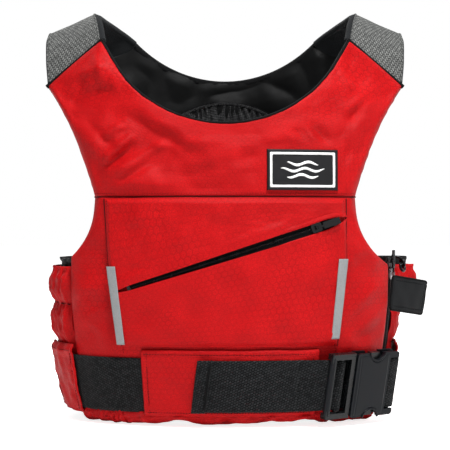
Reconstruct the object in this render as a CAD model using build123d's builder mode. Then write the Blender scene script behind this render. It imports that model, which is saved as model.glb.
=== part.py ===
"""A paddling life jacket with front and back foam blocks, shoulder straps, a zipped
chest pocket, a zipped side entry and a waist belt with a side-release buckle.

Frame: millimetres, +Z up, the chest faces -Y, the wearer's left is +X. The origin is
the middle of the torso opening at hem level.

In plan the body is an oval of four arcs, a broad one for the chest, one for the back and a
tight one for each side, tangent where they meet. Every wall is a band of that oval, given by its
distance outside the cover (negative inside), its heights and its compass of headings: the
direction that the wall faces, in degrees anticlockwise from +X, so the chest faces 270.
"""
import os
from math import atan2, cos, degrees, radians, sin, sqrt, tan

from build123d import *

os.makedirs("parts", exist_ok=True)

# ---------------------------------------------------------------- driving dimensions
CHEST_RADIUS = 300.0       # plan radius of the chest and of the back
CHEST_SET = 175.0          # distance from the middle plane to those arcs' centres
CHEST_HALF_ANGLE = 20.0    # half of the heading range of the chest arc
SIDE_X = CHEST_SET * tan(radians(CHEST_HALF_ANGLE))
SIDE_RADIUS = CHEST_RADIUS - CHEST_SET / cos(radians(CHEST_HALF_ANGLE))

TAPER_TOP = 150.0          # below this height the walls curve in to the hem
TAPER_RADIUS = 537.0
LEAN_RADIUS = 450.0        # above the chest seam the yokes curve back to the shoulders
SEAM_Z = 221.0             # chest seam
FOAM_Z = 13.0              # bottom of the foam, above the hem roll
YOKE_TOP = 392.0

BLOCK = 31.5               # thickness of a lower block, cover to lining
YOKE_SHOULDER = 12.0       # thickness of a yoke at the shoulder
YOKE_SHOULDER_Z = 377.0
COVER = 1.2                # cover and lining cloth with its backing
BINDING = 2.2              # width of the tape bound over the neck edge
GAP = 0.2                  # between one layer and the next

LEFT_EDGE, RIGHT_EDGE = 216.6, 333.4      # headings of the front block's side edges
BACK_EDGES = (395.0, 505.0)               # headings of the back block's side edges

BELT_Z = (13.0, 67.0)      # waist belt
STRAP_WIDTH = 50.0         # adjuster strap
WEB = 2.0                  # webbing thickness
BELT_OUT = 0.6             # waist belt's inner face, outside the cover
BELT_MID_Z = 40.0

ARM_SEAM_X = 126.5         # half width of the chest at the seam, between the armholes
ARM_CORNER = (172.0, 151.0)
ARM_MIDDLE = (138.5, 183.0)
FRONT_OUTER, FRONT_INNER = (178.5, 334.0), (122.5, 377.0)     # shoulder corners, X and Z
FRONT_ARM_MIDDLE = (146.0, 278.0)
FRONT_NECK_X, FRONT_NECK_Z, FRONT_NECK_LOW = 105.0, 347.0, 291.0
BACK_OUTER, BACK_INNER = (156.0, 352.0), (97.0, 389.0)
BACK_ARM_MIDDLE = (133.5, 285.0)
BACK_NECK_LOW = 348.6

POCKET_OUT = 6.2           # outside of the pocket cloth
POCKET_CLOTH = 1.7         # pocket cloth with its turned and doubled seams
POCKET_TOP, POCKET_BOTTOM = 219.5, 78.0
ZIP_LOW, ZIP_HIGH = (-98.9, 131.0), (115.0, 200.5)            # ends of the pocket zip, X and Z
ZIP_SLOT = 11.0
ZIP_LEVEL = 3.1            # middle of the pocket zip's tape, outside the cover
SIDE_ZIP_HEADING = 339.0
SIDE_ZIP_LEVEL = -5.4

BUCKLE_HEADING = 307.8
BUCKLE_LIFT = 8.5          # buckle's middle plane, outside the cover
BUCKLE_HALF_WIDTH = 32.0
BUCKLE_HALF_THICK = 6.0


# ---------------------------------------------------------------- walls of the oval
def taper(z):
    """How far a lower wall stands inside the oval at height z."""
    drop = max(0.0, TAPER_TOP - z)
    return TAPER_RADIUS - sqrt(TAPER_RADIUS**2 - drop**2)


def lean(z):
    """How far a yoke's outside stands back from the chest at height z."""
    return LEAN_RADIUS - sqrt(LEAN_RADIUS**2 - (z - SEAM_Z) ** 2)


def arcs_of_oval():
    """(centre X, centre Y, radius, first heading, last heading) once and a half round the oval."""
    a, turns = CHEST_HALF_ANGLE, []
    for turn in (0, 360):
        turns += [
            (0, CHEST_SET, CHEST_RADIUS, 270 - a + turn, 270 + a + turn),
            (SIDE_X, 0, SIDE_RADIUS, 270 + a + turn, 450 - a + turn),
            (0, -CHEST_SET, CHEST_RADIUS, 450 - a + turn, 450 + a + turn),
            (-SIDE_X, 0, SIDE_RADIUS, 450 + a + turn, 630 - a + turn),
        ]
    first = turns[3]
    return [(first[0], first[1], first[2], first[3] - 360, first[4] - 360)] + turns


def upright_plane(x, y, heading):
    """Upright plane through (x, y): its x axis points along the heading and its y axis up."""
    c, s = cos(radians(heading)), sin(radians(heading))
    return Plane(origin=(x, y, 0), x_dir=(c, s, 0), z_dir=(s, -c, 0))


def wall_edge(radius, z_low, z_high):
    """One face of a lower wall, from z_low to z_high."""
    bend = min(z_high, TAPER_TOP)
    low, high = (radius - taper(z_low), z_low), (radius - taper(bend), bend)
    if z_low < bend:
        middle = (z_low + bend) / 2
        ThreePointArc(low, (radius - taper(middle), middle), high)
    if z_high > bend:
        Line(high, (radius, z_high))


def wall(inside, outside, z_low, z_high, first, last):
    """A wall of the oval in the active part, from one heading to another."""
    for x, y, radius, start, end in arcs_of_oval():
        begin, finish = max(first, start), min(last, end)
        if finish - begin < 0.01:
            continue
        with BuildSketch(upright_plane(x, y, begin)) as profile:
            with BuildLine():
                wall_edge(radius + inside, z_low, z_high)
                wall_edge(radius + outside, z_low, z_high)
                for z in (z_low, z_high):
                    Line((radius + inside - taper(z), z), (radius + outside - taper(z), z))
            make_face()
        revolve(profile.sketch, Axis((x, y, 0), (0, 0, 1)), finish - begin)


def yoke_inside(z):
    """Plan radius of a yoke's inner face at height z."""
    top = CHEST_RADIUS - lean(YOKE_SHOULDER_Z) - YOKE_SHOULDER
    share = (z - SEAM_Z) / (YOKE_SHOULDER_Z - SEAM_Z)
    return CHEST_RADIUS - BLOCK + share * (top - CHEST_RADIUS + BLOCK)


def yoke_layer(side, outer, inner):
    """A leaning layer above the chest seam, side -1 for the front and 1 for the back.

    outer and inner are ("cover" or "lining", how far out from that face)."""
    def edge(face, out):
        middle = (SEAM_Z + YOKE_TOP) / 2
        if face == "cover":
            points = [(CHEST_RADIUS - lean(z) + out, z) for z in (SEAM_Z, middle, YOKE_TOP)]
            ThreePointArc(*points)
        else:
            points = [(yoke_inside(z) + out, z) for z in (SEAM_Z, YOKE_TOP)]
            Line(*points)
        return points[0], points[-1]

    facing = 90.0 * side
    spread = 45.0
    with BuildSketch(upright_plane(0, -side * CHEST_SET, facing - spread)) as profile:
        with BuildLine():
            low_out, high_out = edge(*outer)
            low_in, high_in = edge(*inner)
            Line(low_out, low_in)
            Line(high_out, high_in)
        make_face()
    revolve(profile.sketch, Axis((0, -side * CHEST_SET, 0), (0, 0, 1)), 2 * spread)


def mirror_x(point):
    return (-point[0], point[1])


def yoke_outline(side):
    """Front view of a yoke."""
    front = side < 0
    outer, inner = (FRONT_OUTER, FRONT_INNER) if front else (BACK_OUTER, BACK_INNER)
    arm = FRONT_ARM_MIDDLE if front else BACK_ARM_MIDDLE
    foot = (ARM_SEAM_X, SEAM_Z)
    with BuildLine() as edge:
        neck_edge(side, 0.0)
        if front:
            neck = (FRONT_NECK_X, FRONT_NECK_Z)
            Line(neck, inner)
            Line(mirror_x(neck), mirror_x(inner))
        Line(inner, outer)
        ThreePointArc(outer, arm, foot)
        Line(foot, mirror_x(foot))
        ThreePointArc(mirror_x(foot), mirror_x(arm), mirror_x(outer))
        Line(mirror_x(outer), mirror_x(inner))
    make_face(edge.edges())


def yoke_cut(side):
    """Keep of the active part what lies inside the yoke's outline."""
    with BuildSketch(Plane.XZ) as outline:
        yoke_outline(side)
    extrude(outline.sketch, amount=-side * 250.0, mode=Mode.INTERSECT)


def neck_end(side, grow, sign):
    """End of the neck's curve, grown into the neck opening."""
    x, z = (FRONT_NECK_X, FRONT_NECK_Z) if side < 0 else BACK_INNER
    return (sign * (x - grow * 0.7), z + grow * 0.7)


def neck_edge(side, grow):
    """The neck's curve, grown into the neck opening."""
    low = (FRONT_NECK_LOW if side < 0 else BACK_NECK_LOW) + grow
    ThreePointArc(neck_end(side, grow, -1), (0, low), neck_end(side, grow, 1))


def armhole_cut(side):
    """Cut the armhole corners off a lower layer in the active part."""
    far = 260.0
    with BuildSketch(Plane.XZ) as corners:
        for sign in (1, -1):
            with BuildLine():
                seam, corner = (sign * ARM_SEAM_X, SEAM_Z), (sign * ARM_CORNER[0], ARM_CORNER[1])
                ThreePointArc(seam, (sign * ARM_MIDDLE[0], ARM_MIDDLE[1]), corner)
                Polyline(corner, (sign * far, ARM_CORNER[1]), (sign * far, far), (seam[0], far), seam)
            make_face()
    extrude(corners.sketch, amount=-side * 250.0, mode=Mode.SUBTRACT)


def block_headings(side):
    return (LEFT_EDGE, RIGHT_EDGE) if side < 0 else BACK_EDGES


def save(builder, name):
    builder.part.label = name
    export_step(builder.part, f"parts/{name}.step")


# ---------------------------------------------------------------- foam blocks and their cloth
MID_FOAM = BLOCK / 2
LOWER_LAYERS = {           # inside, outside and bottom of each lower layer
    "cover": (-COVER, 0.0, FOAM_Z),
    "foam_outer": (-MID_FOAM + GAP / 2, -COVER - GAP, FOAM_Z),
    "foam_inner": (-BLOCK + COVER + GAP, -MID_FOAM - GAP / 2, FOAM_Z),
    "lining": (-BLOCK, -BLOCK + COVER, FOAM_Z),
}
YOKE_LAYERS = {
    "cover": (("cover", 0.0), ("cover", -COVER)),
    "foam": (("cover", -COVER - GAP), ("lining", COVER + GAP)),
    "lining": (("lining", COVER), ("lining", 0.0)),
}
for side, face in ((-1, "front"), (1, "back")):
    for layer, (inside, outside, bottom) in LOWER_LAYERS.items():
        with BuildPart() as lower:
            wall(inside, outside, bottom, SEAM_Z - GAP, *block_headings(side))
            armhole_cut(side)
        save(lower, f"{face}_{layer}")
    for layer, (outer, inner) in YOKE_LAYERS.items():
        with BuildPart() as yoke:
            yoke_layer(side, outer, inner)
            yoke_cut(side)
        save(yoke, f"{face}_yoke_{layer}")
    # rolled hem that the jacket stands on
    with BuildPart() as hem:
        wall(-26.0, -0.5, 0.0, FOAM_Z - GAP, *block_headings(side))
    save(hem, f"{face}_hem")
    # binding tape round the neck edge
    with BuildPart() as binding:
        yoke_layer(side, ("cover", 0.6), ("lining", -0.6))
        with BuildSketch(Plane.XZ):
            with BuildLine():
                neck_edge(side, GAP)
                neck_edge(side, GAP + BINDING)
                for sign in (1, -1):
                    Line(*[neck_end(side, grow, sign) for grow in (GAP, GAP + BINDING)])
            make_face()
        extrude(amount=-side * 250.0, mode=Mode.INTERSECT)
    save(binding, f"{face}_neck_binding")


# ---------------------------------------------------------------- side panels
SIDE_PANELS = {"left": (146.0, 215.6), "right": (-15.4, 34.0)}
PANEL_Z = (10.0, 152.0)
for name, (first, last) in SIDE_PANELS.items():
    turn = 360 if first < 0 else 0
    with BuildPart() as panel:
        wall(-9.0, 0.0, *PANEL_Z, first + turn, last + turn)
    save(panel, f"side_panel_{name}")
    with BuildPart() as inner_panel:
        wall(-12.5, -9.3, PANEL_Z[0] + 2, PANEL_Z[1] + 8, first + turn + 1, last + turn - 1)
    save(inner_panel, f"side_lining_{name}")


# ---------------------------------------------------------------- mesh pocket inside the back
with BuildPart() as mesh:
    yoke_layer(1, ("lining", -GAP), ("lining", -GAP - 1.4))
    with BuildSketch(Plane.XZ):
        with BuildLine():
            ThreePointArc((-47.0, 312.0), (0, 325.0), (47.0, 312.0))
            Polyline((47.0, 312.0), (44.0, 236.0), (-44.0, 236.0), (-47.0, 312.0))
        make_face()
    extrude(amount=-250.0, mode=Mode.INTERSECT)
save(mesh, "back_mesh_pocket")


# ---------------------------------------------------------------- shoulder straps
# Inner and outer edges of the strap's top face, from the front foot over to the back foot.
STRAP_INNER = [(122.0, -64.5, 378.5), (126.5, -43.0, 399.0), (131.0, -8.0, 411.0),
               (125.0, 26.0, 409.5), (112.0, 53.0, 401.5), (98.0, 70.5, 391.0)]
STRAP_OUTER = [(178.0, -45.5, 335.5), (181.0, -33.0, 364.0), (182.5, -8.0, 387.5),
               (178.5, 19.0, 387.0), (168.5, 42.0, 373.5), (156.5, 55.0, 354.0)]
PAD = 6.0


def strap_planes(sign):
    """(plane, width) across the strap at each station: x runs to the arm and y faces out."""
    inner = [Vector(sign * x, y, z) for x, y, z in STRAP_INNER]
    outer = [Vector(sign * x, y, z) for x, y, z in STRAP_OUTER]
    middle = [(a + b) * 0.5 for a, b in zip(inner, outer)]
    found = []
    for i, centre in enumerate(middle):
        along = middle[min(i + 1, len(middle) - 1)] - middle[max(i - 1, 0)]
        across = outer[i] - inner[i]
        face_out = across.cross(along) * sign
        plane = Plane(origin=centre, x_dir=across, z_dir=across.cross(face_out))
        found.append((plane, across.length))
    return found


def shoulder_cut():
    """Cut from the active part what lies below the yokes' shoulder edges."""
    for side, outer, inner in ((-1, FRONT_OUTER, FRONT_INNER), (1, BACK_OUTER, BACK_INNER)):
        edge = (Vector(*inner) - Vector(*outer)).normalized()
        lift = Vector(edge.Y, -edge.X) * 0.5
        high, low = Vector(*inner) + edge * 8 + lift, Vector(*outer) - edge * 8 + lift
        for sign in (1, -1):
            with BuildSketch(Plane.XZ) as below:
                with BuildLine() as rim:
                    Polyline((sign * high.X, high.Y), (sign * low.X, low.Y), (sign * low.X, 250),
                             (sign * high.X, 250), close=True)
                make_face(rim.edges())
            extrude(below.sketch, amount=-side * 250.0, mode=Mode.SUBTRACT)


for sign, name in ((-1, "left"), (1, "right")):
    for part_name, near, far, narrow in (
        ("shoulder_webbing", 0.0, WEB, 0.0),
        ("shoulder_pad", WEB + 2 * GAP, WEB + 2 * GAP + PAD, 3.0),
    ):
        with BuildPart() as strap:
            for plane, width in strap_planes(sign):
                with BuildSketch(plane):
                    with Locations((0, -(near + far) / 2)):
                        Rectangle(width - narrow, far - near)
            loft()
            shoulder_cut()
        save(strap, f"{part_name}_{name}")


# ---------------------------------------------------------------- pocket
ZIP_SLOPE = atan2(ZIP_HIGH[1] - ZIP_LOW[1], ZIP_HIGH[0] - ZIP_LOW[0])
ZIP_MID_Z = ZIP_LOW[1] - ZIP_LOW[0] * tan(ZIP_SLOPE)
SLOT_RISE = ZIP_SLOT / 2 / cos(ZIP_SLOPE)
POCKET_LEFT = [(-116.0, POCKET_TOP), (-111.5, 155.0), (-98.5, POCKET_BOTTOM)]
POCKET_RIGHT = [(116.0, POCKET_TOP), (116.5, 162.0), (107.5, POCKET_BOTTOM)]


def zip_line(x):
    """Height of the pocket zip at x."""
    return ZIP_MID_Z + x * tan(ZIP_SLOPE)


def side_x(points, z, inset):
    """Where a pocket side seam is at height z, inset towards the middle."""
    ordered = sorted(points, key=lambda p: p[1])
    for (x0, z0), (x1, z1) in zip(ordered, ordered[1:]):
        if z <= z1:
            break
    x = x0 + (x1 - x0) * (z - z0) / (z1 - z0)
    return x - inset if x > 0 else x + inset


def pocket_outline(upper, inset, overlap):
    """Front view of the pocket above or below the zip. overlap moves the zip edge past the slot."""
    rise = (SLOT_RISE - overlap) * (1 if upper else -1)
    left_z, right_z = zip_line(-105.0) + rise, zip_line(115.5) + rise
    left = (side_x(POCKET_LEFT, left_z, inset), left_z)
    right = (side_x(POCKET_RIGHT, right_z, inset), right_z)
    if upper:
        top = POCKET_TOP - inset
        points = [left, right, (side_x(POCKET_RIGHT, top, inset), top),
                  (side_x(POCKET_LEFT, top, inset), top)]
    else:
        low = POCKET_BOTTOM + inset
        points = [left, (side_x(POCKET_LEFT, low, inset), low),
                  (side_x(POCKET_RIGHT, low, inset), low),
                  (side_x(POCKET_RIGHT, POCKET_RIGHT[1][1], inset), POCKET_RIGHT[1][1]), right]
    with BuildLine() as edge:
        Polyline(*points, close=True)
    make_face(edge.edges())


for upper, name in ((True, "pocket_upper_panel"), (False, "pocket_lower_panel")):
    with BuildPart() as hollow:
        wall(-1.0, POCKET_OUT - POCKET_CLOTH, 70.0, 230.0, 240.0, 300.0)
        with BuildSketch(Plane.XZ):
            pocket_outline(upper, 3.0, 4.0)
        extrude(amount=250.0, mode=Mode.INTERSECT)
    with BuildPart() as panel:
        wall(GAP, POCKET_OUT, 70.0, 230.0, 240.0, 300.0)
        with BuildSketch(Plane.XZ):
            pocket_outline(upper, 0.0, 0.0)
        extrude(amount=250.0, mode=Mode.INTERSECT)
        add(hollow.part, mode=Mode.SUBTRACT)
    save(panel, name)


# ---------------------------------------------------------------- zips
class Track:
    """A zip's line: an arc about centre. Angle 0 faces outward, and the angle grows along."""

    def __init__(self, centre, outward, along, radius):
        self.centre, self.radius = Vector(centre), radius
        self.outward, self.along = Vector(outward), Vector(along)
        self.axis = self.outward.cross(self.along)

    def facing(self, angle):
        return self.outward * cos(radians(angle)) + self.along * sin(radians(angle))

    def plane(self, angle, level):
        """Plane on the track: x along it, y across it and z outward."""
        run = self.along * cos(radians(angle)) - self.outward * sin(radians(angle))
        origin = self.centre + self.facing(angle) * (self.radius + level)
        return Plane(origin=origin, x_dir=run, z_dir=self.facing(angle))

    def angle_of(self, length):
        return degrees(length / self.radius)

    def strip(self, low, high, across, first, last):
        """A strip of the active part from level low to high, between two distances across."""
        start = Plane(origin=self.centre, x_dir=self.facing(first),
                      z_dir=self.facing(first).cross(self.axis))
        near, far = across
        with BuildSketch(start) as section:
            with Locations((self.radius + (low + high) / 2, (near + far) / 2)):
                Rectangle(high - low, far - near)
        revolve(section.sketch, Axis(tuple(self.centre), tuple(self.axis)), last - first)


CHEST_Y = CHEST_SET - CHEST_RADIUS
pocket_arc = CHEST_RADIUS / cos(ZIP_SLOPE) ** 2
pocket_track = Track((0, CHEST_Y + pocket_arc, ZIP_MID_Z), (0, -1, 0),
                     (cos(ZIP_SLOPE), 0, sin(ZIP_SLOPE)), pocket_arc)
side_out = Vector(cos(radians(SIDE_ZIP_HEADING)), sin(radians(SIDE_ZIP_HEADING)), 0)
side_track = Track(Vector(SIDE_X, 0, TAPER_TOP) + side_out * (SIDE_RADIUS - TAPER_RADIUS),
                   side_out, (0, 0, -1), TAPER_RADIUS)

TAPE, TAPE_INNER, TAPE_OUTER = 0.6, 2.6, 7.6
COIL_HALF = 2.3
SLIDER_LENGTH, SLIDER_HALF = 11.0, 4.4
PLATE_NEAR, PLATE_FAR = 1.4, 2.4
PIN_LEVEL, PIN_R, PIN_HOLE = 4.2, 0.6, 0.68
PULL_LENGTH, PULL_HALF = 24.0, 3.2

POCKET_ZIP = (pocket_track.angle_of(-98.5), pocket_track.angle_of(112.5))
SIDE_ZIP = (side_track.angle_of(-6.0), side_track.angle_of(133.0))
POCKET_REST = pocket_track.angle_of(91.5)
SIDE_REST = side_track.angle_of(5.0)


def zip_tapes(track, level, ends):
    """One tape on each side of the teeth."""
    for across in ((TAPE_INNER, TAPE_OUTER), (-TAPE_OUTER, -TAPE_INNER)):
        track.strip(level - TAPE / 2, level + TAPE / 2, across, *ends)


def zip_coil(track, level, ends):
    """Joined rows of teeth with a stop at each end, clear of the tapes."""
    inset = track.angle_of(4.0)
    track.strip(level - 0.9, level + 1.0, (-COIL_HALF, COIL_HALF), ends[0] + inset, ends[1] - inset)


def zip_stops(track, level, ends):
    """A clamp across both tapes at each end of the teeth."""
    for end, way in ((ends[0], 1), (ends[1], -1)):
        inset = track.angle_of(3.7)
        first, last = sorted((end + way * track.angle_of(0.6), end + way * inset))
        track.strip(level + TAPE / 2, level + 1.5, (-4.0, 4.0), first, last)


def zip_slider(plane):
    """Upper wing with the pull's bridge and pin, and lower wing. x runs along the zip."""
    for base in (PLATE_NEAR, -PLATE_FAR):
        with BuildSketch(plane.offset(base)) as wing:
            RectangleRounded(SLIDER_LENGTH, 2 * SLIDER_HALF, 2.4)
        extrude(wing.sketch, amount=PLATE_FAR - PLATE_NEAR)
    for base, height in ((0.7, PLATE_NEAR - 0.7), (-PLATE_NEAR, PLATE_NEAR - 0.7)):
        with BuildSketch(plane.offset(base)) as flanges:
            for sign in (1, -1):
                with Locations((0, sign * (SLIDER_HALF - 0.5))):
                    Rectangle(SLIDER_LENGTH - 5.0, 1.0)
        extrude(flanges.sketch, amount=height)
    with BuildSketch(plane.offset(PLATE_FAR)) as bridge_ears:
        for sign in (1, -1):
            with Locations((0, sign * 1.55)):
                Rectangle(3.4, 0.7)
    extrude(bridge_ears.sketch, amount=PIN_LEVEL + 1.2 - PLATE_FAR)
    ears = Plane(origin=plane.origin + plane.z_dir * PIN_LEVEL, x_dir=plane.x_dir, z_dir=plane.y_dir)
    with BuildSketch(ears.offset(-1.9)) as pin:
        Circle(PIN_R)
    extrude(pin.sketch, amount=3.8)


def zip_pull(plane, way):
    """Pull tab on the slider's pin. It lies along the zip, way 1 or -1."""
    level = Plane(origin=plane.origin + plane.z_dir * PIN_LEVEL, x_dir=plane.x_dir * way,
                  z_dir=plane.y_dir * way)
    with BuildSketch(level.offset(-0.9)) as neck:
        Circle(1.4)
        with Locations((4.0, 0)):
            Rectangle(8.0, 1.6)
    extrude(neck.sketch, amount=1.8)
    with BuildSketch(level.offset(-PULL_HALF)) as blade:
        with Locations((6.0 + (PULL_LENGTH - 6.0) / 2, 0)):
            RectangleRounded(PULL_LENGTH - 6.0, 1.6, 0.7)
    extrude(blade.sketch, amount=2 * PULL_HALF)
    with BuildSketch(level.offset(-3.0)) as hole:
        Circle(PIN_HOLE)
    extrude(hole.sketch, amount=6.0, mode=Mode.SUBTRACT)


for name, track, level, ends, rest, way in (
    ("pocket_zip", pocket_track, ZIP_LEVEL, POCKET_ZIP, POCKET_REST, 1),
    ("side_zip", side_track, SIDE_ZIP_LEVEL, SIDE_ZIP, SIDE_REST, -1),
):
    with BuildPart() as tapes:
        zip_tapes(track, level, ends)
    save(tapes, f"{name}_tapes")
    with BuildPart() as coil:
        zip_coil(track, level, ends)
    save(coil, f"{name}_coil")
    with BuildPart() as stops:
        zip_stops(track, level, ends)
    save(stops, f"{name}_stops")
    with BuildPart() as slider:
        zip_slider(track.plane(rest, level))
    save(slider, f"{name}_slider")
    with BuildPart() as pull:
        zip_pull(track.plane(rest, level), way)
    save(pull, f"{name}_pull")


# ---------------------------------------------------------------- trim on the front
STRIPS = {                 # corners of each reflective strip, front view
    "left": [(-110.9, 154.3), (-102.7, 154.3), (-93.7, 79.5), (-97.6, 79.5)],
    "right": [(106.5, 161.5), (115.2, 161.5), (107.0, 84.8), (99.5, 84.8)],
}
for name, corners in STRIPS.items():
    with BuildPart() as strip:
        wall(POCKET_OUT + 0.1, POCKET_OUT + 0.5, 70.0, 180.0, 240.0, 300.0)
        with BuildSketch(Plane.XZ):
            with BuildLine():
                Polyline(*corners, close=True)
            make_face()
        extrude(amount=250.0, mode=Mode.INTERSECT)
    save(strip, f"reflective_strip_{name}")

PATCH_X, PATCH_Z, PATCH_W, PATCH_H = 74.0, 246.5, 69.0, 39.6
with BuildPart() as patch:
    yoke_layer(-1, ("cover", 2.4), ("cover", GAP))
    with BuildSketch(Plane.XZ):
        with Locations((PATCH_X, PATCH_Z)):
            RectangleRounded(PATCH_W, PATCH_H, 2.0)
    extrude(amount=250.0, mode=Mode.INTERSECT)
save(patch, "rubber_patch")
with BuildPart() as mark:
    yoke_layer(-1, ("cover", 3.1), ("cover", 2.45))
    with BuildSketch(Plane.XZ):
        with Locations((PATCH_X, PATCH_Z)):
            Rectangle(PATCH_W - 5.5, PATCH_H - 5.5)
            Rectangle(PATCH_W - 11.5, PATCH_H - 11.5, mode=Mode.SUBTRACT)
            for lift in (-6.5, 0.0, 6.5):
                with Locations((0, lift)):
                    SlotCenterToCenter(34.0 - abs(lift) * 1.5, 2.8)
    extrude(amount=250.0, mode=Mode.INTERSECT)
save(mark, "patch_mark")


# ---------------------------------------------------------------- belt, tunnels and loops
def tunnel(z_low, z_high, first, last, depth, cloth):
    """A cloth sleeve sewn down along its top and bottom and open at both ends."""
    with BuildPart() as bore:
        wall(-1.0, depth, z_low + 2.0, z_high - 2.0, first - 1.0, last + 1.0)
    wall(0.1, depth + cloth, z_low, z_high, first, last)
    add(bore.part, mode=Mode.SUBTRACT)


TUNNELS = {
    "front_belt_tunnel": (10.0, 75.5, 254.3, 287.4, 3.0, 1.0),
    "back_belt_tunnel": (10.0, 72.0, 430.0, 470.0, 3.0, 1.0),
    "belt_loop_left": (10.0, 76.0, 184.0, 220.0, 3.2, 1.1),
    "belt_loop_right": (10.0, 76.0, 346.0, 376.0, 3.2, 1.1),
}
for name, sizes in TUNNELS.items():
    with BuildPart() as sleeve:
        tunnel(*sizes)
    save(sleeve, name)

BELT_START, BELT_END = 345.0, 645.0     # once round from behind the side zip to the front tunnel
with BuildPart() as belt:
    wall(BELT_OUT, BELT_OUT + WEB, *BELT_Z, BELT_START, BELT_END)
save(belt, "waist_belt")

TAIL_FIRST, TAIL_LAST, TAIL_OUT = 263.0, 283.0, 4.6
STRAP_Z = (BELT_MID_Z - STRAP_WIDTH / 2, BELT_MID_Z + STRAP_WIDTH / 2)
with BuildPart() as tail:
    wall(TAIL_OUT, TAIL_OUT + WEB, *STRAP_Z, TAIL_FIRST, TAIL_LAST)
    wall(TAIL_OUT + WEB, TAIL_OUT + 2 * WEB, *STRAP_Z, TAIL_FIRST, TAIL_FIRST + 3.2)
save(tail, "strap_tail")


# ---------------------------------------------------------------- buckle
def strap_section(heading, out):
    """Upright section of a strap that lies at a heading, its thickness along the plane's x."""
    centre_y = CHEST_SET if 250 <= heading % 360 <= 290 else 0.0
    centre_x = 0.0 if centre_y else SIDE_X
    radius = (CHEST_RADIUS if centre_y else SIDE_RADIUS) + out
    base = upright_plane(centre_x, centre_y, heading)
    tilt = degrees(atan2(TAPER_TOP - BELT_MID_Z, TAPER_RADIUS))
    foot = base.from_local_coords(Vector(radius - taper(BELT_MID_Z), BELT_MID_Z, 0))
    outward = base.x_dir * cos(radians(tilt)) - Vector(0, 0, 1) * sin(radians(tilt))
    return Plane(origin=foot, x_dir=outward, z_dir=base.z_dir)


buckle_section = strap_section(BUCKLE_HEADING, BUCKLE_LIFT)
run = Vector(-sin(radians(BUCKLE_HEADING)), cos(radians(BUCKLE_HEADING)), 0)
buckle = Plane(origin=buckle_section.origin, x_dir=run, z_dir=buckle_section.x_dir)
side_view = Plane(origin=buckle.origin, x_dir=buckle.x_dir, z_dir=buckle.y_dir * -1)
LADDER_END, LADDER_BAR, BODY_BAR, BODY_END = -44.0, -29.0, -20.0, -14.0
NOTCH_X, MOUTH_X, REAR_X, FEMALE_END = 12.0, -13.6, 26.0, 41.0
PRONG_X, PRONG_Y, PRONG_R = -17.0, 22.0, 2.6
W = BUCKLE_HALF_WIDTH


def slab(plane, z_low, z_high, x_low, x_high, y_low, y_high, mode=Mode.ADD):
    """A block in the buckle's own axes."""
    with BuildSketch(plane.offset(z_low)) as block:
        with Locations(((x_low + x_high) / 2, (y_low + y_high) / 2)):
            Rectangle(x_high - x_low, y_high - y_low)
    extrude(block.sketch, amount=z_high - z_low, mode=mode)


with BuildPart() as male:
    for sign in (1, -1):
        y_low, y_high = sorted((sign * 26.6, sign * W))
        slab(buckle, -3.4, 4.4, LADDER_END, BODY_END, y_low, y_high)
    slab(buckle, -0.6, 4.4, LADDER_END, LADDER_END + 4.6, -W, W)
    slab(buckle, -3.4, 4.4, BODY_BAR, BODY_END, -W, W)
    fillet(male.edges().filter_by(lambda e: abs(e.length - 2 * W) < 0.5), 0.9)
    with BuildSketch(side_view.offset(-W + 2)):
        with Locations((LADDER_BAR, 0.0)):
            RectangleRounded(4.0, 3.6, 1.2)
    extrude(amount=2 * W - 4)
    slab(buckle, -1.6, 1.6, BODY_END, 18.0, -5.0, 5.0)
    for sign in (1, -1):
        with BuildSketch(buckle.offset(-2.8)):
            with Locations((PRONG_X, sign * PRONG_Y)):
                Circle(PRONG_R + 0.1)
            with Locations((PRONG_X + 3.0, sign * PRONG_Y)):
                Rectangle(6.0, 5.0)
        extrude(amount=5.6, mode=Mode.SUBTRACT)
save(male, "buckle_male")

PRONG_OUTLINE = [(-17.0, 20.6), (8.0, 19.0), (22.0, 18.0), (26.0, 19.5), (17.0, 31.6),
                 (6.0, 31.6), (3.0, 24.5), (-17.0, 23.4)]
for sign, name in ((1, "upper"), (-1, "lower")):
    with BuildPart() as prong:
        with BuildSketch(buckle.offset(-2.6)):
            with BuildLine():
                Polyline(*[(x, sign * y) for x, y in PRONG_OUTLINE], close=True)
            make_face()
            with Locations((PRONG_X, sign * PRONG_Y)):
                Circle(PRONG_R)
        extrude(amount=5.2)
    save(prong, f"buckle_prong_{name}")

with BuildPart() as female:
    for low, high in ((3.6, BUCKLE_HALF_THICK), (-BUCKLE_HALF_THICK, -3.6)):
        with BuildSketch(buckle.offset(low)):
            with Locations(((MOUTH_X + FEMALE_END) / 2, 0)):
                RectangleRounded(FEMALE_END - MOUTH_X, 2 * W, 3.0)
            with Locations((NOTCH_X, W + 2.5), (NOTCH_X, -W - 2.5)):
                Circle(9.5, mode=Mode.SUBTRACT)
            with Locations(((REAR_X + 4.0 + FEMALE_END - 4.5) / 2, 0)):
                Rectangle(FEMALE_END - 4.5 - REAR_X - 4.0, 52.0, mode=Mode.SUBTRACT)
        extrude(amount=high - low)
    slab(buckle, -3.6, 3.6, REAR_X, REAR_X + 4.0, -30.0, 30.0)
    for sign in (1, -1):
        y_low, y_high = sorted((sign * 7.0, sign * 9.5))
        slab(buckle, -3.6, 3.6, MOUTH_X, REAR_X, y_low, y_high)
        y_low, y_high = sorted((sign * 26.6, sign * 30.0))
        slab(buckle, -3.6, 3.6, REAR_X, FEMALE_END - 1.0, y_low, y_high)
    slab(buckle, -6.2, 6.2, FEMALE_END - 4.6, FEMALE_END + 1, -26.0, 26.0, mode=Mode.SUBTRACT)
    slab(buckle, -1.8, 1.8, FEMALE_END - 4.2, FEMALE_END - 0.8, -26.8, 26.8)
save(female, "buckle_female")


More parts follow.
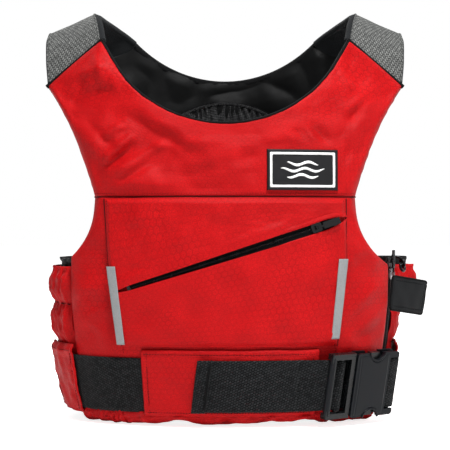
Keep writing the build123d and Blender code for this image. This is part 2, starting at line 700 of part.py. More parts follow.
def strap_run(points):
    """Webbing of the adjuster's width along a side-view outline of the buckle."""
    with BuildSketch(side_view.offset(-STRAP_WIDTH / 2)) as outline:
        with BuildLine():
            Polyline(*points, close=True)
        make_face()
    extrude(outline.sketch, amount=STRAP_WIDTH)


def bridge(local_x, local_z, heading, out):
    """Webbing from the buckle's end to where it lies on the jacket."""
    side = Plane(origin=buckle.from_local_coords(Vector(local_x, 0, local_z)),
                 x_dir=buckle.z_dir, z_dir=buckle.x_dir * -1)
    with BuildSketch(side) as near:
        Rectangle(WEB, STRAP_WIDTH)
    there = strap_section(heading, out)
    with BuildSketch(Plane(there.origin, x_dir=there.x_dir, z_dir=run_at(heading) * -1)) as far:
        Rectangle(WEB, STRAP_WIDTH)
    loft([near.sketch, far.sketch], ruled=True)


def run_at(heading):
    """Direction of travel round the oval at a heading."""
    return Vector(-sin(radians(heading)), cos(radians(heading)), 0)


# The strap comes in under the ladder, up behind its bar, over it and out as the tail.
FEED, BACK_OFF = -5.0, -2.3
with BuildPart() as loop:
    strap_run([
        (-45.5, FEED - WEB / 2), (-23.0, FEED - WEB / 2), (-23.0, 4.6), (-35.2, 4.6),
        (-35.2, BACK_OFF + WEB / 2), (-45.5, BACK_OFF + WEB / 2), (-45.5, BACK_OFF - WEB / 2),
        (-33.2, BACK_OFF - WEB / 2), (-33.2, 2.6), (-25.0, 2.6), (-25.0, FEED + WEB / 2),
        (-45.5, FEED + WEB / 2),
    ])
    bridge(-45.5, BACK_OFF, TAIL_LAST + 0.3, TAIL_OUT + WEB / 2)
    bridge(-45.5, FEED, BELT_END - 360 + 3.2, BELT_OUT + WEB / 2 - 0.3)
save(loop, "adjuster_strap")

# The belt's other end is sewn round the female half's bar.
with BuildPart() as anchor:
    x_low, x_high = FEMALE_END - 4.5 - WEB, FEMALE_END - 0.5 + WEB
    strap_run([(x_low, -4.1), (x_high + 5.0, -4.1), (x_high + 5.0, 4.1), (x_low, 4.1)])
    with BuildSketch(side_view.offset(-STRAP_WIDTH / 2)):
        with BuildLine():
            Polyline((x_low + WEB, -2.1), (x_high, -2.1), (x_high, 2.1), (x_low + WEB, 2.1),
                     close=True)
        make_face()
    extrude(amount=STRAP_WIDTH, mode=Mode.SUBTRACT)
save(anchor, "buckle_anchor_loop")
with BuildPart() as link:
    side = Plane(origin=buckle.from_local_coords(Vector(x_high + 5.2, 0, -1.0)),
                 x_dir=buckle.z_dir, z_dir=buckle.x_dir)
    with BuildSketch(side):
        Rectangle(WEB, STRAP_WIDTH)
    far = strap_section(BELT_START - 0.3, BELT_OUT + WEB / 2)
    with BuildSketch(Plane(origin=far.origin, x_dir=far.x_dir, z_dir=run_at(BELT_START))):
        Rectangle(WEB, STRAP_WIDTH)
    loft(ruled=True)
save(link, "buckle_anchor_strap")


# ---------------------------------------------------------------- tab over the side zip
TAB_ROOT = (164.0, -56.5, 127.0)
TAB_ROLL = 1.4             # radius of the tab's rolled seam
TAB_LENGTH, TAB_HALF, TAB_THICK, TAB_BEARING, TAB_DROOP = 50.0, 17.0, 2.4, 41.0, 8.0
c, s, droop = cos(radians(TAB_BEARING)), sin(radians(TAB_BEARING)), radians(TAB_DROOP)
tab_plane = Plane(origin=TAB_ROOT, x_dir=(c * cos(droop), s * cos(droop), -sin(droop)),
                  z_dir=(s, -c, 0))
with BuildPart() as tab:
    with BuildSketch(tab_plane):
        with Locations((TAB_LENGTH / 2, 0)):
            RectangleRounded(TAB_LENGTH, 2 * TAB_HALF, 1.5)
    extrude(amount=TAB_THICK)
    # rolled seam along the sewn end, round the line the tab turns on
    with BuildSketch(Plane(origin=TAB_ROOT, x_dir=tab_plane.x_dir, z_dir=tab_plane.y_dir)):
        Circle(TAB_ROLL)
    extrude(amount=TAB_HALF, both=True)
save(tab, "zip_guard_tab")
with BuildPart() as hooks:
    with BuildSketch(tab_plane.offset(-1.1)):
        with Locations((TAB_LENGTH - 14.0, 0)):
            RectangleRounded(22.0, 2 * TAB_HALF - 8.0, 1.0)
    extrude(amount=1.0)
save(hooks, "tab_hook_patch")
with BuildPart() as loops:
    wall(0.1, 0.9, 113.0, 139.0, 353.0, 367.0)
save(loops, "tab_loop_patch")


# ---------------------------------------------------------------- joint facts for the record
for name, track, rest in (("pocket", pocket_track, POCKET_REST), ("side", side_track, SIDE_REST)):
    level = ZIP_LEVEL if name == "pocket" else SIDE_ZIP_LEVEL
    spot = track.plane(rest, level)
    pin = spot.origin + spot.z_dir * PIN_LEVEL
    print(name, "zip axis at", tuple(track.centre), "along", tuple(track.axis), "rest", rest)
    print(name, "pull pin at", tuple(pin), "along", tuple(spot.y_dir))
print("buckle origin", tuple(buckle.origin), "x", tuple(buckle.x_dir), "z", tuple(buckle.z_dir))
for sign in (1, -1):
    print("prong pin", tuple(buckle.from_local_coords(Vector(PRONG_X, sign * PRONG_Y, 0))))
print("tab axis", TAB_ROOT, tuple(tab_plane.y_dir))
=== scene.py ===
"""The visual model of the paddling life jacket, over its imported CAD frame."""
import math

import bmesh
import bpy
import numpy as np
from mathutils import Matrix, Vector


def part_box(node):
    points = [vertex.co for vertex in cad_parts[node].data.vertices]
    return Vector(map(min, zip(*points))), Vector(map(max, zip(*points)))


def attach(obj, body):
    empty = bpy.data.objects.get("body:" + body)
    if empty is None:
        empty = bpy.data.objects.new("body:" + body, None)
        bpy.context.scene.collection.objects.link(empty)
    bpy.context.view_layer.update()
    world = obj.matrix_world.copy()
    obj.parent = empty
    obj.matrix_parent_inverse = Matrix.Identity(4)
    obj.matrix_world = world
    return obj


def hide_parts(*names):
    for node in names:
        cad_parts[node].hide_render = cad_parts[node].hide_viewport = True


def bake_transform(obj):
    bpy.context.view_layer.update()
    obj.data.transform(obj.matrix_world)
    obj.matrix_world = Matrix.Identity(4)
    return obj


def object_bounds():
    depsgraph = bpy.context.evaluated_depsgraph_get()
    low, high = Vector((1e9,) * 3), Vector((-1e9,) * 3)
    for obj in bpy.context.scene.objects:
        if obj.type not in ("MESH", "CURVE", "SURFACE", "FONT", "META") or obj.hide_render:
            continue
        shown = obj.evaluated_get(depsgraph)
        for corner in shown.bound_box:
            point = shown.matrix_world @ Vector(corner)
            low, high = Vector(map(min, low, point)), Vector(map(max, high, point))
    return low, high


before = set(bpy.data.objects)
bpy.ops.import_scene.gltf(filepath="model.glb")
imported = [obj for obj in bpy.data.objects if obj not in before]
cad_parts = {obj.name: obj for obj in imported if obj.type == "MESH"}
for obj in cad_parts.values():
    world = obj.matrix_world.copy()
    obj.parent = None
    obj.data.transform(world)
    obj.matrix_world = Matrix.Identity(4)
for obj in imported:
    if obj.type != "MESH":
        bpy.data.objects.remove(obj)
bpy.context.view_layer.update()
MM = 0.001

# ---------------------------------------------------------------- the jacket's surfaces, in mm
CHEST_R, CHEST_SET, HALF = 300.0, 175.0, math.radians(20.0)
SIDE_X = CHEST_SET * math.tan(HALF)
SIDE_R = CHEST_R - CHEST_SET / math.cos(HALF)
SEAM_Z = 221.0                       # chest seam, between the block and the yoke
BLOCK = 31.5                         # thickness of the foam blocks with their cloth
TAPER_Z, TAPER_R = 150.0, 537.0      # below TAPER_Z the blocks curve in on this radius
LEAN_R = 450.0                       # above the seam the yokes lean in on this radius
INNER_SEAM, INNER_TOP, YOKE_RISE = 268.5, 260.07, 156.0    # lining's radius, seam to top
HEM_Z = 13.0                         # where the blocks' cover meets the hem
TURN = 5.0                           # how far the cover's edge stops short of the lining
FRONT_EDGES, BACK_EDGES = (216.6, 333.4), (145.0, 35.0)    # headings of the blocks' edges
UV_PER_MM = 0.01
BELT_LOW, BELT_HIGH = 13.2, 66.8     # lower and upper edge of the waist belt
TAIL_LOW, TAIL_HIGH = 14.6, 65.4     # and of the adjuster strap's sewn tail
PINCH = 0.45                         # how far a cloth's two faces close up at its rim


def smooth(t):
    """Ease from 0 to 1 as t goes from 0 to 1, and flat outside."""
    t = np.clip(t, 0.0, 1.0)
    return t * t * (3 - 2 * t)


def taper(z):
    """How far the blocks have curved in at height z."""
    below = np.maximum(0.0, TAPER_Z - np.asarray(z, float))
    return TAPER_R - np.sqrt(TAPER_R**2 - below**2)


def lean(z):
    """How far the yokes have leaned in at height z."""
    rise = np.maximum(0.0, np.asarray(z, float) - SEAM_Z)
    return LEAN_R - np.sqrt(LEAN_R**2 - rise**2)


def front_y(x, z, d):
    """Y of the chest side at front-view (x, z), d outside the cover."""
    ax = np.abs(x)
    off = d - taper(z)
    big, small = CHEST_R + off, SIDE_R + off
    chest = CHEST_SET - np.sqrt(np.maximum(big**2 - ax**2, 1.0))
    flank = -np.sqrt(np.maximum(small**2 - np.maximum(ax - SIDE_X, 0) ** 2, 0.0))
    low = np.where(ax <= big * math.sin(HALF), chest, flank)
    high = CHEST_SET - np.sqrt(np.maximum((CHEST_R - lean(z) + d) ** 2 - ax**2, 1.0))
    t = smooth((z - SEAM_Z) / 40.0)
    return low * (1 - t) + high * t


def depth_at(z):
    """Thickness of the front or back, cover to lining, at height z."""
    inside = INNER_SEAM + (z - SEAM_Z) / YOKE_RISE * (INNER_TOP - INNER_SEAM)
    return np.where(z < SEAM_Z, BLOCK, CHEST_R - lean(z) - inside)


def front(x, z, d, side=-1):
    """Point of the front (-1) or back (1) at front-view (x, z), d outside the cover."""
    y = front_y(x, z, d)
    return np.stack([x + 0 * y, y if side < 0 else -y, z + 0 * y], -1)


def oval(h, z, d):
    """Point of the oval at heading h in degrees, height z and d outside the cover."""
    h, z, d = np.broadcast_arrays(np.mod(np.asarray(h, float), 360.0), z, d)
    off = d - taper(z)
    c, s = np.cos(np.radians(h)), np.sin(np.radians(h))
    in_front, in_back = (h > 250) & (h < 290), (h > 70) & (h < 110)
    right = (h >= 290) | (h <= 70)
    radius = np.where(in_front | in_back, CHEST_R, SIDE_R) + off
    cx = np.where(in_front | in_back, 0.0, np.where(right, SIDE_X, -SIDE_X))
    cy = np.where(in_front, CHEST_SET, np.where(in_back, -CHEST_SET, 0.0))
    return np.stack([cx + radius * c, cy + radius * s, z + 0 * c], -1)


def bell(q, width):
    """Bell curve of q, 1 at 0, with no sharp end."""
    return np.exp(-(q / width) ** 2)


def ripple(p, q, seed, scale, n=9):
    """Smooth noise of two coordinates, about -1 to 1."""
    rng = np.random.default_rng(seed)
    total = np.zeros(np.broadcast(p, q).shape)
    for _ in range(n):
        a, k, f = rng.uniform(0, 2 * math.pi), rng.uniform(0.6, 1.5) / scale, rng.uniform(0, 6.3)
        total += np.sin(2 * math.pi * k * (p * math.cos(a) + q * math.sin(a)) + f)
    return total / math.sqrt(n)


def folds(x, z, table):
    """Sum of straight creases: x0, z0, x1, z1, width, height."""
    total = np.zeros(np.broadcast(x, z).shape)
    for x0, z0, x1, z1, width, height in table:
        dx, dz = x1 - x0, z1 - z0
        length = math.hypot(dx, dz)
        along = ((x - x0) * dx + (z - z0) * dz) / length**2
        across = ((x - x0) * dz - (z - z0) * dx) / length
        ends = np.exp(-np.maximum(0, np.abs(along - 0.5) - 0.28) ** 2 / 0.03)
        total += height * ends * bell(across, width)
    return total


# ---------------------------------------------------------------- mesh making
def smooth_mesh(me):
    """Smooth shading on every face."""
    me.polygons.foreach_set("use_smooth", [True] * len(me.polygons))
    me.update()


def add_object(name, me, mat, nodes=(), body="jacket"):
    """Put a mesh in the scene on its body, in place of the CAD nodes it stands for."""
    obj = bpy.data.objects.new(name, me)
    bpy.context.scene.collection.objects.link(obj)
    if mat:
        me.materials.append(mat)
    if body:
        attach(obj, body)
    if nodes:
        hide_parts(*nodes)
    return obj


def lengths(P, axis):
    """Running length in mm along one axis of a grid of points."""
    step = np.linalg.norm(np.diff(P, axis=axis), axis=-1)
    mean = step.mean(axis=1 - axis)
    return np.concatenate([[0.0], np.cumsum(mean)])


def normals(P):
    """Unit normals of a grid of points, du x dv."""
    du = np.gradient(P, axis=1)
    dv = np.gradient(P, axis=0)
    n = np.cross(du, dv)
    return n / np.maximum(np.linalg.norm(n, axis=-1, keepdims=True), 1e-9)


def shell(name, P, thick, out=1, loop=False):
    """Closed thin mesh on a grid of points P[v, u], thick on the side away from its normal.

    thick may be a number, or a grid of the other face's points. loop closes it along u."""
    nv, nu = P.shape[:2]
    if np.ndim(thick) == 3:
        Q = thick
    elif loop:
        ext = np.concatenate([P[:, -2:], P, P[:, :2]], axis=1)
        Q = P - out * thick * normals(ext)[:, 2:-2]
    else:
        Q = P - out * thick * normals(P)
    if np.ndim(thick) != 3:
        mid = (P + Q) / 2
        rim = np.zeros((nv, nu, 1))
        rim[0] = rim[-1] = 1
        if not loop:
            rim[:, 0] = rim[:, -1] = 1
        P = P + (mid - P) * PINCH * rim
        Q = Q + (mid - Q) * PINCH * rim
    verts = np.concatenate([P.reshape(-1, 3), Q.reshape(-1, 3)]) * MM
    u, v = lengths(P, 1), lengths(P, 0)
    cols = nu if loop else nu - 1
    i, j = np.meshgrid(np.arange(cols), np.arange(nv - 1))
    i, j = i.ravel(), j.ravel()
    i2 = (i + 1) % nu
    a, b, c, d = j * nu + i, j * nu + i2, (j + 1) * nu + i2, (j + 1) * nu + i
    top = np.stack([a, b, c, d], 1) if out > 0 else np.stack([d, c, b, a], 1)
    off = nv * nu
    bottom = top[:, ::-1] + off
    k = np.arange(cols)
    k2 = (k + 1) % nu
    rims = [np.stack([k2, k, k + off, k2 + off], 1),
            np.stack([k, k2, k2 + off, k + off], 1) + (nv - 1) * nu * np.ones((1, 4), int)]
    if not loop:
        m = np.arange(nv - 1) * nu
        rims += [np.stack([m, m + nu, m + nu + off, m + off], 1),
                 np.stack([m + nu, m, m + off, m + nu + off], 1) + (nu - 1)]
    if out < 0:
        rims = [r[:, ::-1] for r in rims]
    faces = np.concatenate([top, bottom] + rims)
    me = bpy.data.meshes.new(name)
    me.from_pydata(verts.tolist(), [], faces.tolist())
    uu, vv = np.meshgrid(u, v)
    uv = np.stack([uu, vv], -1).reshape(-1, 2)
    uv = np.concatenate([uv, uv]) * UV_PER_MM
    layer = me.uv_layers.new(name="cloth")
    loops = np.zeros(len(me.loops), int)
    me.loops.foreach_get("vertex_index", loops)
    layer.data.foreach_set("uv", uv[loops].ravel())
    smooth_mesh(me)
    return me


def cloth(name, P, thick, mat, slot, nodes=(), out=1, held="stretched", loop=False, body="jacket",
          sheet=True, rests_on=()):
    """A sheet piece of cloth on a grid of points."""
    me = shell(name, P, thick, out, loop)
    obj = add_object(name, me, mat, nodes, body)
    return obj


def spaced(length, step, fine=1.0):
    """Places 0 to 1 along a length, closer together near both ends."""
    edge = np.array([0.0, 0.35, 0.9, 1.7, 2.7, 4.0, 5.6, 7.5, 9.8, 12.4]) * fine
    inner = np.linspace(edge[-1], length - edge[-1], max(2, int((length - 2 * edge[-1]) / step)))
    places = np.concatenate([edge[:-1], inner, (length - edge[:-1])[::-1]])
    return places / length


def coons(bottom, top, left, right, u, v):
    """Grid of front-view points between four edges, each a function of 0 to 1."""
    B, T = bottom(u), top(u)
    L, R = left(v), right(v)
    U, V = u[None, :, None], v[:, None, None]
    ruled_v = (1 - V) * B[None] + V * T[None]
    ruled_u = (1 - U) * L[:, None] + U * R[:, None]
    corner = ((1 - U) * (1 - V) * B[0] + U * (1 - V) * B[-1] + (1 - U) * V * T[0] + U * V * T[-1])
    return ruled_v + ruled_u - corner


def path(points):
    """Function of 0 to 1 along a polyline, by length."""
    pts = np.asarray(points, float)
    run = np.concatenate([[0], np.cumsum(np.linalg.norm(np.diff(pts, axis=0), axis=1))])
    run /= run[-1]
    return lambda t: np.stack([np.interp(t, run, pts[:, k]) for k in range(pts.shape[1])], -1)


def arc3(a, m, b, n=24):
    """Points on the circle through a, m and b."""
    (ax, ay), (bx, by), (cx, cy) = a, m, b
    d = 2 * (ax * (by - cy) + bx * (cy - ay) + cx * (ay - by))
    aa, bb, cc = ax**2 + ay**2, bx**2 + by**2, cx**2 + cy**2
    ux = (aa * (by - cy) + bb * (cy - ay) + cc * (ay - by)) / d
    uy = (aa * (cx - bx) + bb * (ax - cx) + cc * (bx - ax)) / d
    r = math.hypot(ax - ux, ay - uy)
    t0, t1, t2 = (math.atan2(p[1] - uy, p[0] - ux) for p in (a, m, b))
    turn = (t2 - t0) % (2 * math.pi)
    if (t1 - t0) % (2 * math.pi) > turn:
        turn -= 2 * math.pi
    t = t0 + turn * np.linspace(0, 1, n)
    return np.stack([ux + r * np.cos(t), uy + r * np.sin(t)], 1)


def catmull(points, n):
    """Smooth curve through points, n samples."""
    p = np.asarray(points, float)
    p = np.concatenate([[2 * p[0] - p[1]], p, [2 * p[-1] - p[-2]]])
    t = np.linspace(0, len(points) - 1, n)
    i = np.minimum(t.astype(int), len(points) - 2)
    f = (t - i)[:, None]
    a, b, c, d = p[i], p[i + 1], p[i + 2], p[i + 3]
    square, cube = 2 * a - 5 * b + 4 * c - d, 3 * b - a - 3 * c + d
    return 0.5 * (2 * b + (c - a) * f + square * f**2 + cube * f**3)


def stitches(name, runs, mat, pitch=2.9, length=2.0, radius=0.24, body="jacket"):
    """Threads along runs of points. Each run is (points, outward normals)."""
    verts, faces, base = [], [], 0
    ring = np.array([(math.cos(a), math.sin(a)) for a in np.arange(5) * 2 * math.pi / 5])
    for pts, nor in runs:
        pts, nor = np.asarray(pts, float), np.asarray(nor, float)
        run = np.concatenate([[0], np.cumsum(np.linalg.norm(np.diff(pts, axis=0), axis=1))])
        for s in np.arange(pitch / 2, run[-1] - pitch / 2, pitch):
            ends = []
            for t in (s - length / 2, s, s + length / 2):
                ends.append(np.array([np.interp(t, run, pts[:, k]) for k in range(3)]))
            n = np.array([np.interp(s, run, nor[:, k]) for k in range(3)])
            n /= np.linalg.norm(n)
            along = ends[2] - ends[0]
            along /= np.linalg.norm(along)
            side = np.cross(n, along)
            for centre, r, lift in ((ends[0], 0.45, -0.1), (ends[1], 1.0, 0.12),
                                    (ends[2], 0.45, -0.1)):
                for cx, cy in ring:
                    verts.append(centre + n * lift + radius * r * (side * cx + n * cy))
            for k in range(2):
                for m in range(5):
                    q = (m + 1) % 5
                    faces.append((base + k * 5 + m, base + k * 5 + q, base + k * 5 + 5 + q,
                                  base + k * 5 + 5 + m))
            faces.append(tuple(base + m for m in (4, 3, 2, 1, 0)))
            faces.append(tuple(base + 10 + m for m in range(5)))
            base += 15
    me = bpy.data.meshes.new(name)
    me.from_pydata((np.array(verts) * MM).tolist(), [], faces)
    smooth_mesh(me)
    return add_object(name, me, mat, (), body)


def surface_run(points, d, side=-1, step=1.5):
    """Run of points on the front or back along a front-view polyline, with its normals."""
    f = path(points)
    pts = np.asarray(points, float)
    total = np.linalg.norm(np.diff(pts, axis=0), axis=1).sum()
    xz = f(np.linspace(0, 1, max(3, int(total / step))))
    dd = d(xz[:, 0], xz[:, 1]) if callable(d) else d
    P = front(xz[:, 0], xz[:, 1], dd, side)
    Q = front(xz[:, 0], xz[:, 1], dd + 1.0, side)
    n = Q - P
    return P, n / np.linalg.norm(n, axis=1, keepdims=True)


def oval_run(h0, h1, z0, z1, d, step=1.5):
    """Run of points on the oval between two headings and heights, with its normals."""
    t = np.linspace(0, 1, max(3, int(max(abs(h1 - h0) * 3.2, abs(z1 - z0)) / step)))
    h, z = h0 + (h1 - h0) * t, z0 + (z1 - z0) * t
    P, Q = oval(h, z, d), oval(h, z, d + 1.0)
    n = Q - P
    return P, n / np.linalg.norm(n, axis=1, keepdims=True)


# ---------------------------------------------------------------- materials
class Nodes:
    """Small helper for building one material's nodes."""

    def __init__(self, name, rough=0.6, **sockets):
        self.m = bpy.data.materials.new(name)
        self.m.use_nodes = True
        self.t = self.m.node_tree
        self.b = self.t.nodes["Principled BSDF"]
        self.set(self.b, "Roughness", rough)
        for key, value in sockets.items():
            self.set(self.b, key.replace("_", " "), value)

    def set(self, node, socket, value):
        if isinstance(value, bpy.types.NodeSocket):
            self.t.links.new(value, node.inputs[socket])
        else:
            node.inputs[socket].default_value = value

    def add(self, kind, out=0, props=None, **inputs):
        node = self.t.nodes.new(kind)
        for key, value in (props or {}).items():
            setattr(node, key, value)
        for key, value in inputs.items():
            self.set(node, int(key[1:]) if key[0] == "i" and key[1:].isdigit() else key, value)
        return node.outputs[out]

    def math(self, op, a, b=0.0, c=None):
        extra = {} if c is None else {"i2": c}
        return self.add("ShaderNodeMath", props={"operation": op}, i0=a, i1=b, **extra)

    def vmath(self, op, a, b=(0, 0, 0), out=0):
        return self.add("ShaderNodeVectorMath", out=out, props={"operation": op}, i0=a, i1=b)

    def cloth(self, scale=100.0, turn=0.0):
        """Cloth coordinates in mm."""
        uv = self.add("ShaderNodeUVMap", props={"uv_map": "cloth"})
        return self.add("ShaderNodeMapping", Vector=uv, Scale=(scale, scale, scale),
                        Rotation=(0, 0, math.radians(turn)))

    def space(self, scale=1000.0):
        """Object coordinates in mm."""
        at = self.add("ShaderNodeTexCoord", out=3)
        return self.add("ShaderNodeMapping", Vector=at, Scale=(scale, scale, scale))

    def noise(self, at, scale, detail=2.0, rough=0.5):
        return self.add("ShaderNodeTexNoise", out=0, Vector=at, Scale=scale, Detail=detail,
                        Roughness=rough)

    def wave(self, at, scale, axis="X", distortion=0.0, profile="SIN"):
        return self.add("ShaderNodeTexWave", out=1, Vector=at, Scale=scale, Distortion=distortion,
                        props={"wave_type": "BANDS", "bands_direction": axis,
                               "wave_profile": profile})

    def ramp(self, value, low, high, lo=0.0, hi=1.0):
        return self.add("ShaderNodeMapRange", i0=value, i1=low, i2=high, i3=lo, i4=hi)

    def mix(self, t, a, b):
        node = self.t.nodes.new("ShaderNodeMix")
        node.data_type = "RGBA"
        self.set(node, 0, t)
        for at, value in ((6, a), (7, b)):
            self.set(node, at, (*value, 1.0) if isinstance(value, tuple) and len(value) == 3
                     else value)
        return node.outputs[2]

    def bump(self, height, strength=0.4, distance=0.0004, normal=None):
        node = self.t.nodes.new("ShaderNodeBump")
        self.set(node, "Height", height)
        self.set(node, "Strength", strength)
        self.set(node, "Distance", distance)
        if normal is not None:
            self.set(node, "Normal", normal)
        return node.outputs[0]

    def hexes(self, at, cell):
        """Distance from the middle of a hexagon cell, 0 to 0.5, with at in mm."""
        p = self.vmath("SCALE", at)
        p.node.inputs[3].default_value = 1.0 / cell
        r = (1.0, math.sqrt(3.0), 1.0)
        h = (0.5, math.sqrt(3.0) / 2, 0.5)
        flat = (1.0, 1.0, 0.0)

        def folded(q):
            wrapped = self.vmath("WRAP", q, r)
            wrapped.node.inputs[2].default_value = (0.0, 0.0, 0.0)
            return self.vmath("MULTIPLY", self.vmath("SUBTRACT", wrapped, h), flat)

        a, b = folded(p), folded(self.vmath("SUBTRACT", p, h))
        da = self.vmath("DOT_PRODUCT", a, a, out=1)
        db = self.vmath("DOT_PRODUCT", b, b, out=1)
        nearer = self.math("LESS_THAN", da, db)
        node = self.t.nodes.new("ShaderNodeMix")
        node.data_type = "VECTOR"
        self.set(node, 0, nearer)
        self.set(node, 4, b)
        self.set(node, 5, a)
        g = self.vmath("ABSOLUTE", node.outputs[1])
        slant = self.vmath("DOT_PRODUCT", g, (0.5, math.sqrt(3.0) / 2, 0.0), out=1)
        flat_x = self.add("ShaderNodeSeparateXYZ", Vector=g)
        return self.math("MAXIMUM", slant, flat_x)


def red_cloth(name, hexagons=1.0, dark=1.0, turn=0.0):
    """Coated ripstop: fine plain weave with a faint honeycomb of thicker threads."""
    n = Nodes(name, 0.5, Sheen_Weight=0.02, Sheen_Roughness=0.35, Specular_IOR_Level=0.09)
    n.b.inputs["Sheen Tint"].default_value = (1.0, 0.25, 0.2, 1.0)
    at = n.cloth(turn=turn)
    broad = n.noise(at, 0.035, 3.0)
    grain = n.noise(at, 0.9, 2.0, 0.6)
    hexd = n.hexes(at, 6.1)
    line = n.ramp(hexd, 0.40, 0.48)
    patchy = n.ramp(n.noise(at, 0.02, 1.0), 0.38, 0.62, 0.35, 1.0)
    line = n.math("MULTIPLY", n.math("MULTIPLY", line, patchy), hexagons)
    # dark below 1 scales every tone down: painted shade, for a shaded copy of the cloth
    tone = n.mix(n.ramp(broad, 0.3, 0.7), (0.46 * dark, 0.0040, 0.0055),
                 (0.60 * dark, 0.0065, 0.008))
    slub = n.noise(at, 0.33, 3.0, 0.7)
    tone = n.mix(n.ramp(grain, 0.38, 0.66, 0.0, 0.8), tone, (0.29 * dark, 0.0025, 0.004))
    tone = n.mix(n.ramp(slub, 0.42, 0.66, 0.0, 0.4), tone, (0.34 * dark, 0.003, 0.004))
    tone = n.mix(n.math("MULTIPLY", line, 0.62), tone, (0.22 * dark, 0.002, 0.003))
    n.set(n.b, "Base Color", tone)
    warp, weft = n.wave(at, 0.32, "X"), n.wave(at, 0.32, "Y")
    weave = n.math("ADD", n.math("MULTIPLY", warp, 0.5), n.math("MULTIPLY", weft, 0.5))
    height = n.math("ADD", n.math("MULTIPLY", weave, 0.35), n.math("MULTIPLY", grain, 0.9))
    height = n.math("SUBTRACT", height, n.math("MULTIPLY", line, 0.6))
    n.set(n.b, "Roughness", n.ramp(broad, 0.3, 0.7, 0.42, 0.56))
    n.set(n.b, "Normal", n.bump(height, 0.7, 0.0004))
    return n.m


def plain_cloth(name, colour, rough=0.75, sheen=0.2, pitch=0.32, light=1.6, strength=0.5, spec=0.3):
    n = Nodes(name, rough, Sheen_Weight=sheen, Sheen_Roughness=0.4, Specular_IOR_Level=spec)
    at = n.cloth()
    grain, broad = n.noise(at, 0.8, 3.0, 0.6), n.noise(at, 0.05, 2.0)
    up = tuple(min(1.0, c * light) for c in colour)
    n.set(n.b, "Base Color", n.mix(n.ramp(n.math("ADD", grain, n.math("MULTIPLY", broad, 0.5)),
                                          0.5, 1.0), colour, up))
    weave = n.math("ADD", n.wave(at, pitch, "X"), n.wave(at, pitch, "Y"))
    n.set(n.b, "Normal", n.bump(n.math("ADD", weave, grain), strength, 0.0003))
    return n.m


def webbing(name, dark, light, pitch=2.4, run=4.2, turn=0.0, rough=0.62, depth=0.0007, spec=0.4,
            fleck=0.0):
    """Ribbed webbing: short raised floats laid in brick bond, in rows along the strap, with painted
    highlight on the floats and painted shade in the gaps between them.
    """
    n = Nodes(name, rough, Specular_IOR_Level=spec, Sheen_Weight=0.03)
    at = n.cloth(turn=turn)
    brick = n.t.nodes.new("ShaderNodeTexBrick")
    brick.offset = 0.5
    for key, value in (("Vector", at), ("Scale", 1.0), ("Brick Width", run), ("Row Height", pitch),
                       ("Mortar Size", pitch * 0.27), ("Mortar Smooth", 1.0), ("Bias", -0.1)):
        n.set(brick, key, value)
    n.set(brick, "Color1", (1.0, 1.0, 1.0, 1.0))
    n.set(brick, "Color2", (0.38, 0.38, 0.38, 1.0))
    n.set(brick, "Mortar", (0.0, 0.0, 0.0, 1.0))
    fibre = n.noise(at, 1.6, 3.0, 0.7)
    raised = n.math("MULTIPLY", brick.outputs[0], n.ramp(fibre, 0.3, 0.7, 0.55, 1.0))
    # floats lighter and gaps near black: painted highlight and painted shade; the alternate bricks,
    # fibre noise and flecks are the yarn's own tone
    colour = n.mix(raised, dark, light)
    if fleck:
        spark = n.ramp(n.noise(at, 1.1, 2.0, 0.7), 0.56, 0.7)
        colour = n.mix(n.math("MULTIPLY", n.math("MULTIPLY", spark, brick.outputs[0]), fleck),
                       colour, (0.62, 0.63, 0.60))
    n.set(n.b, "Base Color", colour)
    n.set(n.b, "Normal", n.bump(raised, 0.8, depth))
    return n.m


def moulded(name, colour, rough=0.42, grain=0.25, coat=0.0, metallic=0.0, wear=0.0, spec=0.5):
    """Moulded or metal surface with a fine texture and a little handling wear."""
    n = Nodes(name, rough, Metallic=metallic, Coat_Weight=coat, Specular_IOR_Level=spec)
    at = n.space()
    fine, broad = n.noise(at, 2.2, 3.0, 0.6), n.noise(at, 0.09, 3.0)
    n.set(n.b, "Roughness", n.ramp(n.math("ADD", broad, n.math("MULTIPLY", fine, 0.3)), 0.4, 0.9,
                                   rough - 0.08, rough + 0.14))
    up = tuple(min(1.0, c * 1.5 + wear) for c in colour)
    n.set(n.b, "Base Color", n.mix(n.ramp(broad, 0.45, 0.75), colour, up))
    n.set(n.b, "Normal", n.bump(fine, grain, 0.00012))
    return n.m


RED = red_cloth("ripstop_red", hexagons=0.85)
RED_PLAIN = red_cloth("ripstop_red_fine", hexagons=0.75)
# the same ripstop with every tone 7% darker, for the hem and the gathered sides: painted shade
RED_SHADED = red_cloth("ripstop_red_shaded", hexagons=0.4, dark=0.93)
LINING = plain_cloth("lining_black", (0.0014, 0.0015, 0.0016), rough=0.5, sheen=0.02, light=1.4,
                     spec=0.15, strength=0.25)
TAPE = plain_cloth("binding_black", (0.003, 0.003, 0.0033), rough=0.6, sheen=0.01, strength=0.8,
                   spec=0.08)
MESH = plain_cloth("mesh_black", (0.004, 0.004, 0.0045), rough=0.4, sheen=0.08, spec=0.25,
                   pitch=0.18, strength=1.0)
COATED = plain_cloth("coated_black", (0.006, 0.0065, 0.0072), rough=0.5, sheen=0.01, spec=0.12)
PAD = plain_cloth("pad_black", (0.009, 0.010, 0.011), rough=0.8, sheen=0.08, spec=0.12, pitch=0.5)
FOAM = plain_cloth("foam_grey", (0.22, 0.23, 0.25), rough=0.85, sheen=0.0, strength=0.3)
# red thread about ten times darker than the cloth: the thread's own red plus painted shade of its
# stitch holes and of the creases it lies in
THREAD_RED_SHADED = plain_cloth("thread_red_shaded", (0.045, 0.002, 0.003), rough=0.7, sheen=0.0, spec=0.1)
THREAD_BLACK = plain_cloth("thread_black", (0.003, 0.003, 0.003), rough=0.6, sheen=0.0, spec=0.1)
